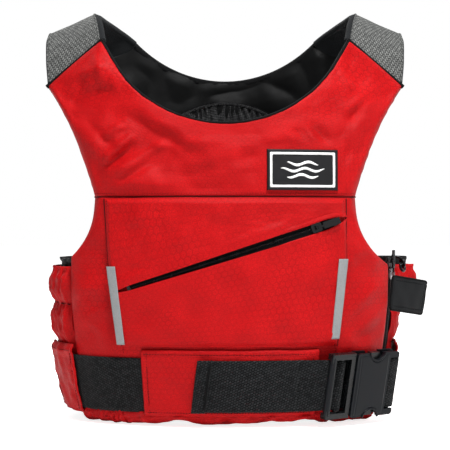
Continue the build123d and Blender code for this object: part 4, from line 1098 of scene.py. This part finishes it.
def pocket_cloth(name, upper, node):
    """Upper or lower cloth of the pocket, its mouth edge turned under."""
    zl, zr = lip(-104.0, upper), lip(116.0, upper)
    for _ in range(29):    # to where the lip meets the side seams
        zl, zr = lip(side_at(POCKET_L, zl), upper), lip(side_at(POCKET_R, zr), upper)
    xl, xr = side_at(POCKET_L, zl), side_at(POCKET_R, zr)
    mouth = path([(x, float(lip(x, upper))) for x in np.linspace(xl, xr, 60)])
    z_far = 219.5 if upper else 78.0
    far = path([(side_at(POCKET_L, z_far), z_far), (side_at(POCKET_R, z_far), z_far)])

    def flank(points, z0, z1):
        zs = np.linspace(z0, z1, 24)
        return path([(side_at(points, q), q) for q in zs])

    if upper:
        edges = (mouth, far, flank(POCKET_L, zl, z_far), flank(POCKET_R, zr, z_far))
    else:
        edges = (far, mouth, flank(POCKET_L, z_far, zl), flank(POCKET_R, z_far, zr))
    G, eL, eR, eB, eT = grid_of(-1, *edges, 2.3, 0.55, 0.4)
    x, z = G[..., 0], G[..., 1]
    eM, eF = (eB, eT) if upper else (eT, eB)
    rise = 1.0 - np.maximum.reduce([1 - smooth(eL / 6.0), 1 - smooth(eR / 6.0),
                                    1 - smooth(eF / 5.0)])
    level = 2.2 + 3.5 * rise
    soft = (0.75 * ripple(x, z, 161 + upper, 52.0) + 0.45 * ripple(x, z, 163 + upper, 21.0)
            + 0.18 * ripple(x, z, 165 + upper, 9.0) + folds(x, z, POCKET_CREASES))
    fade = smooth(np.minimum.reduce([eL, eR, eF]) / 14.0) * (0.25 + 0.75 * smooth(eM / 9.0))
    level = np.minimum(level + soft * fade, 7.4)
    level = level + 0.35 * bell(eM - 1.2, 1.3) - 0.3 * bell(eM - 4.2, 0.8)
    narrow = smooth((62.0 - x) / 12.0)
    over = narrow * (1 - smooth((eM - 7.0) / 7.0)) * smooth((np.minimum(eL, eR) - 1.0) / 6.0)
    level = level * (1 - over) + 6.4 * over
    P = surf(x, z, level, -1)
    row = 0 if upper else -1
    xm, zm = x[row], z[row]
    under = []
    for back, lower in ((-0.35, 0.3), (-0.45, 0.75), (-0.2, 1.15), (0.3, 1.5), (1.2, 1.7)):
        shift = (back if upper else -back) * (1 - 0.9 * narrow[row])
        lower = lower * (1 - 0.68 * narrow[row])
        taper_in = np.clip(level[row] - 2.6, 0, 2.0) / 2.0
        under.append(surf(xm, zm + shift, level[row] - lower * taper_in, -1))
    under = np.array(under)
    P = np.concatenate([under[::-1], P]) if upper else np.concatenate([P, under])
    cloth(name, P, 0.55, RED, "red_cloth", [node])


POCKET_CREASES = [(60.0, 176.0, 108.0, 186.0, 5.0, 0.9), (70.0, 160.0, 112.0, 176.0, 6.0, -0.8),
                  (-100.0, 205.0, -60.0, 196.0, 7.0, 0.7),
                  (-112.0, 205.0, -102.0, 170.0, 5.0, -0.7),
                  (20.0, 206.0, 86.0, 209.0, 6.0, -0.6), (-90.0, 110.0, -84.0, 88.0, 6.0, 0.6)]
pocket_cloth("pocket_upper_cloth", True, "pocket_upper_panel")
pocket_cloth("pocket_lower_cloth", False, "pocket_lower_panel")
runs = []
for pts in (POCKET_L, POCKET_R):
    inset = 2.3 if pts is POCKET_L else -2.3
    runs.append(surface_run([(q[0] + inset, q[1] + (-1.5 if i == 0 else 0))
                             for i, q in enumerate(pts)], 3.3))
stitches("pocket_seam_stitches", runs, THREAD_RED_SHADED, pitch=2.6, length=2.0, radius=0.4)
runs = [surface_run([(-126.0, 224.2), (126.0, 224.2)], 0.5),
        surface_run([(-98.0, 75.6), (-97.2, 70.0)], 0.4),
        surface_run([(106.6, 76.5), (105.4, 62.0)], 0.4)]
stitches("chest_seam_stitches", runs, THREAD_RED_SHADED, pitch=2.6, length=1.9, radius=0.28)
# dark red tubes along the side seams of the pocket, and in the chest seam: painted shade in the
# seams' creases
for word, pts in (("left", POCKET_L), ("right", POCKET_R)):
    run, _ = surface_run(pts, 1.6)
    tube(f"pocket_seam_shade_{word}", run, 0.9, THREAD_RED_SHADED, sides=8)
run, _ = surface_run([(-126.0, 221.0), (126.0, 221.0)], -1.0)
tube("chest_seam_shade", run, 0.7, THREAD_RED_SHADED, sides=8)


# ---------------------------------------------------------------- zips
def track_frame(centre, outward, along, radius):
    c, o, a = (np.asarray(q, float) for q in (centre, outward, along))
    w = np.cross(o, a)

    def at(length, across, level):
        t = length / radius
        face = o * math.cos(t) + a * math.sin(t)
        return c + face * (radius + level) + w * across, face, a * math.cos(t) - o * math.sin(t), w
    return at


POCKET_TRACK = track_frame((0, 206.672, 163.134), (0, -1, 0), (math.cos(SLOPE), 0, math.sin(SLOPE)),
                           331.672)
SIDE_ZIP = math.radians(339)         # heading of the side zip
SIDE_TRACK = track_frame((-331.425, 151.672, 150.0),
                         (math.cos(SIDE_ZIP), math.sin(SIDE_ZIP), 0), (0, 0, -1), 537.0)


def zip_rows(prefix, at, level, first, last, wide, tape_nodes, coil_nodes):
    """Woven tapes and two rows of interlocked spiral teeth."""
    for way, word in ((1, "upper"), (-1, "lower")):
        s = np.linspace(first, last, 80)
        a = np.array([0.15, 1.2, 2.2, 3.6, 5.4, wide])
        P = np.array([[at(q, way * w, level + 0.15 * math.sin(q * 0.3 + w))[0] for q in s]
                      for w in a])
        P = P if way > 0 else P[::-1]
        cloth(f"{prefix}_tape_{word}", P, 0.6, TAPE, "black_tape", tape_nodes if way > 0 else (),
              sheet=wide > 10)
    verts, faces, k = [], [], 0
    ring = [(math.cos(q), math.sin(q)) for q in np.arange(6) * math.pi / 3]
    for i, s in enumerate(np.arange(first + 4.5, last - 4.5, 0.95)):
        way = 1 if i % 2 else -1
        base = k
        for a, lift, r in ((0.55, 0.75, 0.34), (-0.3, 0.9, 0.42), (-1.2, 0.9, 0.36),
                           (-2.0, 0.35, 0.3)):
            p, face, run, w = at(s, -way * a, level + lift)
            for cx, cy in ring:
                verts.append(p + run * cx * r + face * cy * r * 1.1)
            k += 6
        for j in range(3):
            for m in range(6):
                q = (m + 1) % 6
                f = (base + j * 6 + m, base + j * 6 + q, base + j * 6 + 6 + q, base + j * 6 + 6 + m)
                faces.append(f if way > 0 else f[::-1])
        caps = (tuple(base + m for m in range(5, -1, -1)), tuple(base + 18 + m for m in range(6)))
        faces += [q if way > 0 else q[::-1] for q in caps]
    me = bpy.data.meshes.new(f"{prefix}_teeth")
    me.from_pydata((np.array(verts) * MM).tolist(), [], faces)
    smooth_mesh(me)
    add_object(f"{prefix}_teeth", me, ENAMEL, coil_nodes)


zip_rows("pocket_zip", POCKET_TRACK, 3.1, -98.5, 112.5, 7.2, ["pocket_zip_tapes"],
         ["pocket_zip_coil"])
zip_rows("side_zip", SIDE_TRACK, -5.4, -6.0, 133.0, 12.6, ["side_zip_tapes"], ["side_zip_coil"])


# ---------------------------------------------------------------- strips, patch, mesh pocket
STRIPS = {"left": [(-110.9, 154.3), (-102.7, 154.3), (-93.7, 79.5), (-101.2, 79.5)],
          "right": [(106.5, 161.5), (115.2, 161.5), (107.0, 84.8), (99.5, 84.8)]}
for word, (tl, tr, br, bl) in STRIPS.items():
    U, V = np.meshgrid(np.linspace(0, 1, 9), np.linspace(0, 1, 44))
    corner = [np.array(q) for q in (bl, br, tl, tr)]
    U, V = U[..., None], V[..., None]
    G = ((1 - U) * (1 - V) * corner[0] + U * (1 - V) * corner[1]
         + (1 - U) * V * corner[2] + U * V * corner[3])
    x, z = G[..., 0], G[..., 1]
    P = surf(x, z, 6.75 + 0.12 * ripple(x, z, 171, 24.0), -1)
    cloth(f"reflective_strip_{word}_tape", P, 0.5, REFLECT, "reflective",
          [f"reflective_strip_{word}"], sheet=False)


def ribbon(name, curves, samples, width_n, thick, mat, slot, nodes=(), out=1, **more):
    """Cloth strip between two curves given as matching lists of points."""
    low, high = (catmull(np.array(c, float), samples) for c in curves)
    t = np.linspace(0, 1, width_n)
    P = low[None] * (1 - t)[:, None, None] + high[None] * t[:, None, None]
    return cloth(name, P, thick, mat, slot, nodes, out=out, **more)


# rubber patch: rimmed base, white frame and a plain wave motif
PX, PZ, PW, PH = 74.0, 246.5, 34.5, 19.8


def patch_grid(hw, hh, level, n=36, rim=0.0, rim_at=1.0):
    U, V = np.meshgrid(np.linspace(-1, 1, n), np.linspace(-1, 1, int(n * 0.7)))
    x, z = PX + U * hw, PZ + V * hh
    e = np.minimum((1 - np.abs(U)) * hw, (1 - np.abs(V)) * hh)
    return surf(x, z, level - 0.9 * bell(e, 0.5) + rim * bell(e - rim_at, 0.8), -1)


cloth("rubber_patch_base", patch_grid(PW, PH, 2.3, n=60, rim=0.35), 2.0, RUBBER, "black_rubber",
      ["rubber_patch"], sheet=False)


def frame_ring(hw, hh, wide, level, r=1.2):
    """Raised white frame of the patch, round the given half width and height."""
    pts = []
    for cx, cz, a0 in ((hw - r, hh - r, 0), (-hw + r, hh - r, 90), (-hw + r, -hh + r, 180),
                       (hw - r, -hh + r, 270)):
        for a in np.radians(np.linspace(a0, a0 + 90, 7)):
            pts.append((cx + r * math.cos(a), cz + r * math.sin(a)))
    pts = np.array(pts + [pts[0]])
    pts = path(pts)(np.linspace(0, 1, 181))[:-1]
    rows = []
    for k, drop_ in ((0.0, 0.45), (0.12, 0.08), (0.5, 0.0), (0.88, 0.08), (1.0, 0.45)):
        q = pts * (1 - wide * k / np.array([hw, hh]))
        rows.append(surf(PX + q[:, 0], PZ + q[:, 1], level - drop_, -1))
    return np.array(rows)[::-1]


ring = frame_ring(31.6, 16.9, 2.6, 3.1)
cloth("patch_frame", ring, 0.9, WHITE, "white_rubber", ["patch_mark"], out=-1, loop=True,
      sheet=False)
for k, (z0, half, phase) in enumerate(((6.0, 15.0, 0.0), (0.0, 21.0, 1.0), (-6.0, 15.0, 2.0))):
    t = np.linspace(-1, 1, 70)
    mid = z0 + 1.5 * np.sin(t * half / 3.4 + phase)
    wide = 1.35 * np.sqrt(np.maximum(1 - t**4, 0.02))
    rows = [surf(PX + t * half, PZ + mid + wide * s, 3.0 - 0.4 * s * s, -1)
            for s in (-1, -0.5, 0, 0.5, 1)]
    cloth(f"patch_wave_{k}", np.array(rows), 0.8, WHITE, "white_rubber", sheet=False)

# gathered mesh pocket inside the back
U, V = np.meshgrid(np.linspace(-1, 1, 90), np.linspace(0, 1, 44))
half = 44.0 + 3.0 * V
top = 325.0 - 13.0 * U**2
x, z = U * half, 236.0 + (top - 236.0) * V
pleat = np.abs(np.sin(U * 21.0 + 1.3 * ripple(x, z, 181, 40.0))) * (0.3 + 2.6 * V**3)
edge = smooth(np.minimum.reduce([(1 - np.abs(U)) * 14, V * 10]))
bag = 2.6 * np.sin(math.pi * np.clip(V, 0, 1)) * (1 - U**2)
P = surf(x, z, -depth_at(z) - 0.9 - (pleat + bag + 0.5 * np.abs(ripple(x, z, 183, 13.0))) * edge, 1)
cloth("mesh_pocket_cloth", P, 0.7, MESH, "black_mesh", ["back_mesh_pocket"], out=1, held="gathered")
t = np.linspace(-1, 1, 150)
x, z = t * 47.0, 325.4 - 13.0 * t**2
wob = 0.9 * np.abs(np.sin(t * 36.0)) * (1 - t**8)
tube("mesh_pocket_elastic", surf(x, z, -depth_at(z) - 2.2 - wob, 1), 1.7, MESH,
     sides=8)
tube("mesh_pocket_seam", surf(x, z + 2.6, -depth_at(z) - 0.9, 1), 0.7, TAPE, sides=6)


# ---------------------------------------------------------------- tab over the side zip
ca, sa, dr = math.cos(math.radians(41)), math.sin(math.radians(41)), math.radians(8)
TAB_LONG, TAB_HALF = 49.2, 16.4      # cloth's far end and half width
TAB_O = np.array((164.0, -56.5, 127.0))
TAB_X = np.array((ca * math.cos(dr), sa * math.cos(dr), -math.sin(dr)))
TAB_Z = np.array((sa, -ca, 0.0))
TAB_Y = np.cross(TAB_Z, TAB_X)


def on_tab(x, y, z):
    """Point in the tab's own axes: along it, across it and out of its plane."""
    x, y, z = np.broadcast_arrays(np.asarray(x, float), y, z)
    return TAB_O + x[..., None] * TAB_X + y[..., None] * TAB_Y + z[..., None] * TAB_Z


def tab_bow(x, y):
    """How far the tab's cloth bows out of its plane."""
    twist = 0.018 * y * (x / 50.0) * 4
    return 1.1 * np.sin(x / 50.0 * math.pi) + twist + 0.25 * ripple(x, y, 191, 22.0)


X, Y = np.meshgrid(np.linspace(0.6, TAB_LONG, 60), np.linspace(-TAB_HALF, TAB_HALF, 40))
edge = np.minimum.reduce([X - 0.6 + 3, TAB_LONG - X, TAB_HALF - np.abs(Y)])
pillow = 0.45 * smooth(edge / 5.0) - 0.5 * bell(edge - 3.4, 0.7)
P = on_tab(X, Y, 1.9 + tab_bow(X, Y) + pillow)
cloth("guard_tab_cloth", P, 2.0, COATED, "black_cloth", ["zip_guard_tab"], body="guard_tab",
      held="stretched")
ring_pts = []
for cx, cy, a0 in ((47.2, 14.4, 0), (2.4, 14.4, 90), (2.4, -14.4, 180), (47.2, -14.4, 270)):
    for a in np.radians(np.linspace(a0, a0 + 90, 6)):
        ring_pts.append((cx + 2.2 * math.cos(a), cy + 2.2 * math.sin(a)))
ring_pts = path(ring_pts + [ring_pts[0]])(np.linspace(0, 1, 121))[:-1]
rim = on_tab(ring_pts[:, 0], ring_pts[:, 1], 0.9 + tab_bow(ring_pts[:, 0], ring_pts[:, 1]))
tube("guard_tab_binding", rim, 1.25, TAPE, body="guard_tab", sides=8, closed=True)
runs = []
for a, b in (((4.4, -12.9), (45.4, -12.9)), ((45.4, -12.9), (45.4, 12.9)),
             ((4.4, 12.9), (45.4, 12.9)),
             ((5.0, -12.9), (5.0, 12.9))):
    t = np.linspace(0, 1, 30)
    x, y = a[0] + (b[0] - a[0]) * t, a[1] + (b[1] - a[1]) * t
    pts = on_tab(x, y, 1.95 + tab_bow(x, y))
    runs.append((pts, np.tile(TAB_Z, (30, 1))))
stitches("guard_tab_stitches", runs, THREAD_BLACK, body="guard_tab", pitch=2.6,
         radius=0.3)
X, Y = np.meshgrid(np.linspace(25, 47, 50), np.linspace(-13, 13, 50))
tufts = 0.35 * np.sin(X * 4.2) * np.sin(Y * 4.2)
cloth("guard_tab_hooks", on_tab(X, Y, -0.15), on_tab(X, Y, -1.0 + tufts * 0.6),
      PAD, "black_cloth", ["tab_hook_patch"], body="guard_tab", sheet=False)
H, Z = np.meshgrid(np.linspace(353.2, 366.8, 50), np.linspace(113.2, 138.8, 50))
tufts = 0.3 * np.sin(H * 8.0) * np.sin(Z * 4.2)
band("side_loop_patch", H, Z, 0.7 + tufts, 0.7, PAD, "black_cloth", ["tab_loop_patch"], sheet=False)


# ---------------------------------------------------------------- buckle
B_O = np.array((131.655, -87.614, 40.0))
B_X = np.array((0.790155, 0.612907, 0.0))
B_Z = np.array((0.600439, -0.774082, -0.200675))
B_Y = np.cross(B_Z, B_X)


def bk(x, y, z):
    """Point in the buckle's own axes: along the belt, across it and outward."""
    x, y, z = np.broadcast_arrays(np.asarray(x, float), y, z)
    return B_O + x[..., None] * B_X + y[..., None] * B_Y + z[..., None] * B_Z


def stations(local, half, tail=()):
    """Lower and upper edge of webbing through the buckle and then on round the oval."""
    low = [bk(x, -half, z) for x, z in local] + [oval(h, 15.0, d) for h, d in tail]
    high = [bk(x, half, z) for x, z in local] + [oval(h, 65.0, d) for h, d in tail]
    return low, high


loop_path = [(-45.0, -2.4), (-38.0, -2.2), (-34.2, -1.0), (-32.4, 1.6), (-30.6, 3.3), (-28.6, 3.5),
             (-26.4, 2.8), (-24.6, 0.6), (-22.8, -2.6), (-16.6, -5.0), (-14.4, -6.0), (-18.0, -6.9),
             (-28.0, -6.6), (-34.0, -6.2), (-40.0, -5.6)]
low, high = stations(loop_path, 24.6)
head = [(oval(h, 15.0, d), oval(h, 65.0, d)) for h, d in ((283.0, 6.3), (284.6, 6.6))]
tail = [(oval(h, 15.0, d), oval(h, 65.0, d)) for h, d in ((286.6, 3.4), (285.0, 2.6))]
low = [q[0] for q in head] + low + [q[0] for q in tail]
high = [q[1] for q in head] + high + [q[1] for q in tail]
strap = ribbon("adjuster_strap_webbing", (low, high), 150, 26, 1.7, WEB_BLACK, "black_webbing",
               ["adjuster_strap"], body=None)
tuple(oval(283.0, 40.0, 6.0) * MM)
tuple(bk(-40.0, 0.0, 0.0) * MM)
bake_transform(strap)

rear = [(30.4, -2.6), (30.5, 1.0), (31.6, 3.9), (34.5, 5.0), (40.0, 4.9), (43.6, 3.6), (45.0, 0.6),
        (43.8, -2.0), (42.0, -3.2)]
low, high = stations(rear, 24.8)
ribbon("anchor_loop_webbing", (low, high), 90, 26, 1.7, WEB_BLACK, "black_webbing",
       ["buckle_anchor_loop"])
low, high = stations([(35.0, -3.6), (41.0, -4.2), (46.0, -5.4)], 24.8,
                     [(333.5, 3.9), (336.0, 3.4), (338.5, 3.2), (341.0, 3.1), (346.0, 2.9)])
ribbon("anchor_strap_webbing", (low, high), 50, 26, 1.7, WEB_BLACK, "black_webbing",
       ["buckle_anchor_strap"])


def finish_cad(node, mat, width, segments=3, angle=35):
    """Give a hard CAD node its finish and rounded edges."""
    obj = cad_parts[node]
    obj.data.materials.clear()
    obj.data.materials.append(mat)
    obj.data.polygons.foreach_set("use_smooth", [True] * len(obj.data.polygons))
    bev = obj.modifiers.new("round", "BEVEL")
    bev.width, bev.segments, bev.limit_method = width * MM, segments, "ANGLE"
    bev.angle_limit = math.radians(angle)
    bev.use_clamp_overlap = True
    weighted = obj.modifiers.new("normals", "WEIGHTED_NORMAL")
    weighted.keep_sharp = False


for node, mat, width in (("buckle_male", GLOSSY, 1.0), ("buckle_female", PLASTIC, 0.9),
                         ("buckle_prong_upper", GLOSSY, 0.7), ("buckle_prong_lower", GLOSSY, 0.7),
                         ("pocket_zip_slider", ENAMEL, 0.3), ("pocket_zip_pull", ENAMEL, 0.35),
                         ("side_zip_slider", NICKEL, 0.3), ("side_zip_pull", ENAMEL, 0.35),
                         ("pocket_zip_stops", ENAMEL, 0.3), ("side_zip_stops", NICKEL, 0.3)):
    finish_cad(node, mat, width)

# rounded bars, rails and crowned plate of the buckle
y = np.linspace(-30.4, 30.4, 41)
end_r = 3.0 * np.sqrt(np.clip(1 - (np.abs(y) / 31.6) ** 14, 0.05, 1))
tube("buckle_end_bar", bk(-41.8, y, 1.9), end_r, PLASTIC, body="buckle_plug",
     sides=16)
for s, word in ((1, "upper"), (-1, "lower")):
    x = np.linspace(-42.5, -14.6, 30)
    tube(f"buckle_rail_{word}", bk(x, s * 29.2, 1.2), 3.3, GLOSSY,
         body="buckle_plug", sides=16)
y = np.linspace(-30.0, 30.0, 41)
tube("buckle_mouth_bar", bk(-16.6, y, 1.0), 3.5, GLOSSY, body="buckle_plug",
     sides=16)


PLATE_REAR, PLATE_FRONT, PLATE_HALF = -12.6, 28.6, 31.0
NOTCH_X, NOTCH_Y, NOTCH_R, CORNER_R = 12.0, 34.5, 10.3, 2.5


def plate(name, z_face, way):
    """Crowned face of the socket with a notch in its upper and lower edges."""
    x = np.linspace(PLATE_REAR, PLATE_FRONT, 84)
    edge = np.full_like(x, PLATE_HALF)
    inside = np.abs(x - NOTCH_X) < NOTCH_R + 0.1
    edge[inside] = NOTCH_Y - np.sqrt((NOTCH_R + 0.1)**2 - (x[inside] - NOTCH_X) ** 2)
    for gap in (PLATE_FRONT - x, x - PLATE_REAR):    # rounded corners
        inset = np.clip(CORNER_R - gap, 0, CORNER_R)
        edge = np.minimum(edge, PLATE_HALF - CORNER_R
                          + np.sqrt(np.clip(CORNER_R**2 - inset ** 2, 0, None)))
    v = np.linspace(-1, 1, 60)
    v = np.sign(v) * (1 - (1 - np.abs(v)) ** 1.25)
    X, V = np.meshgrid(x, v)
    Y = V * edge[None]
    near = np.minimum.reduce([(1 - np.abs(V)) * edge[None], X - PLATE_REAR, PLATE_FRONT - X])
    crown = 1.25 * (1 - (Y / 40.0) ** 2) * (1 - ((X - 8.0) / 46.0) ** 2)
    z = z_face - 0.2 + crown * smooth(near / 2.6) - 0.25 * bell(X + 8.6, 0.5)
    P = bk(X, Y, way * z)
    cloth(name, P, bk(X, Y, way * (z_face - 0.6)), PLASTIC, "black_plastic", (), out=way,
          body="jacket", sheet=False)


plate("buckle_face_front", 6.0, 1)
plate("buckle_face_back", 6.0, -1)
for s, word in ((1, "upper"), (-1, "lower")):
    a = np.linspace(math.radians(190), math.radians(350), 40)
    x, y = NOTCH_X + NOTCH_R * np.cos(a), s * (NOTCH_Y + NOTCH_R * np.sin(a))
    tube(f"buckle_notch_rim_{word}", bk(x, y, 6.1), 1.05, PLASTIC, sides=10)


# short cord wound on the side zip's pull
t = np.linspace(0, 1, 90)
pull_low, pull_high = (np.array(q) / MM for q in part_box("side_zip_pull"))
pull_mid = (pull_low + pull_high) / 2
swing = t * 6.283 * 3.25
wide, deep = 3.6 * np.cos(swing), 0.3 * np.sin(swing * 1.7)
knot = np.stack([pull_mid[0] + 0.36 * wide + 0.93 * deep, pull_mid[1] + 0.93 * wide - 0.36 * deep,
                 158.5 + 5.6 * np.sin(swing * 0.77 + 0.5)], 1)
tube("side_pull_cord", knot, 0.95, ENAMEL, body="side_pull", sides=8)

# knotted end of the side's drawcord, hung over the edge of the right side
a = np.linspace(0, 2 * math.pi, 121)[:-1]
turn_h = -9.0 + 2.1 * (2 + np.cos(3 * a)) * np.cos(2 * a) / 1.98
P = oval(turn_h, 153.5 + 2.15 * (2 + np.cos(3 * a)) * np.sin(2 * a), 4.6 + 2.0 * np.sin(3 * a))
tube("side_cord_knot", P, 1.45, ENAMEL, sides=10, closed=True)
ends = catmull([(-9.0, 150.5, 4.4), (-8.6, 156.0, 4.6), (-8.2, 160.6, 1.5), (-8.0, 161.6, -3.0),
                (-8.0, 157.0, -7.2)], 40)
tube("side_cord_end", oval(ends[:, 0], ends[:, 1], ends[:, 2]), 1.3, ENAMEL, sides=10)


# ---------------------------------------------------------------- set and camera
MIDDLE = 0.19                        # height the lights aim at, in metres


def lamp(name, spot, size, power):
    """Round soft light aimed at the jacket's middle."""
    data = bpy.data.lights.new(name, "AREA")
    data.shape = "DISK"
    data.size, data.energy = size, power
    obj = bpy.data.objects.new(name, data)
    obj.location = spot
    aim = Vector((0, 0, MIDDLE)) - Vector(spot)
    obj.rotation_euler = aim.to_track_quat("-Z", "Y").to_euler()
    bpy.context.scene.collection.objects.link(obj)


lamp("key", (0.3, -0.95, 2.0), 0.45, 58.0)
lamp("fill", (1.5, -1.7, 0.9), 1.6, 6.0)
lamp("back", (-1.0, 1.8, 1.6), 1.6, 10.0)
lamp("back_right", (1.8, 1.2, 0.9), 1.6, 6.0)
# the sky and the floor are paler to the camera than they light the jacket
SKY_SEEN, SKY_LIGHT = 0.68, 0.32     # the second alone lights; both together are what shows
FLOOR_SEEN, FLOOR_LIGHT = 0.72, 0.08
world = bpy.data.worlds.new("pale")
bpy.context.scene.world = world
world.use_nodes = True
world.node_tree.nodes["Background"].inputs[0].default_value = (1.0, 1.0, 1.0, 1.0)
t = world.node_tree
seen = t.nodes.new("ShaderNodeLightPath")
paler = t.nodes.new("ShaderNodeMath")
paler.operation = "MULTIPLY_ADD"
paler.inputs[1].default_value, paler.inputs[2].default_value = SKY_SEEN, SKY_LIGHT
t.links.new(seen.outputs["Is Camera Ray"], paler.inputs[0])
t.links.new(paler.outputs[0], t.nodes["Background"].inputs[1])

me = bpy.data.meshes.new("floor")
bm = bmesh.new()
bmesh.ops.create_circle(bm, cap_ends=True, segments=96, radius=12.0)
bm.to_mesh(me)
bm.free()
floor = bpy.data.objects.new("floor", me)
bpy.context.scene.collection.objects.link(floor)
n = Nodes("floor_paint", 0.85, Specular_IOR_Level=0.1, Emission_Color=(1.0, 1.0, 1.0, 1.0))
camera_sees = n.add("ShaderNodeLightPath")
n.set(n.b, "Emission Strength", n.math("MULTIPLY_ADD", camera_sees, FLOOR_SEEN, FLOOR_LIGHT))
n.set(n.b, "Base Color", n.mix(n.ramp(n.noise(n.space(1.0), 3.0), 0.3, 0.7), (0.93, 0.93, 0.93),
                               (0.95, 0.95, 0.95)))
me.materials.append(n.m)
floor.location = (0, 0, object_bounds()[0][2] - 0.0005)

camera = bpy.data.cameras.new("camera")
camera.lens, camera.sensor_width = 118.5, 36.0
eye = bpy.data.objects.new("camera", camera)
eye.location = (0.0, -1.525, 0.194)
eye.rotation_euler = (math.radians(90), 0, 0)
bpy.context.scene.collection.objects.link(eye)
bpy.context.scene.camera = eye
bpy.context.scene.view_settings.view_transform = "Standard"
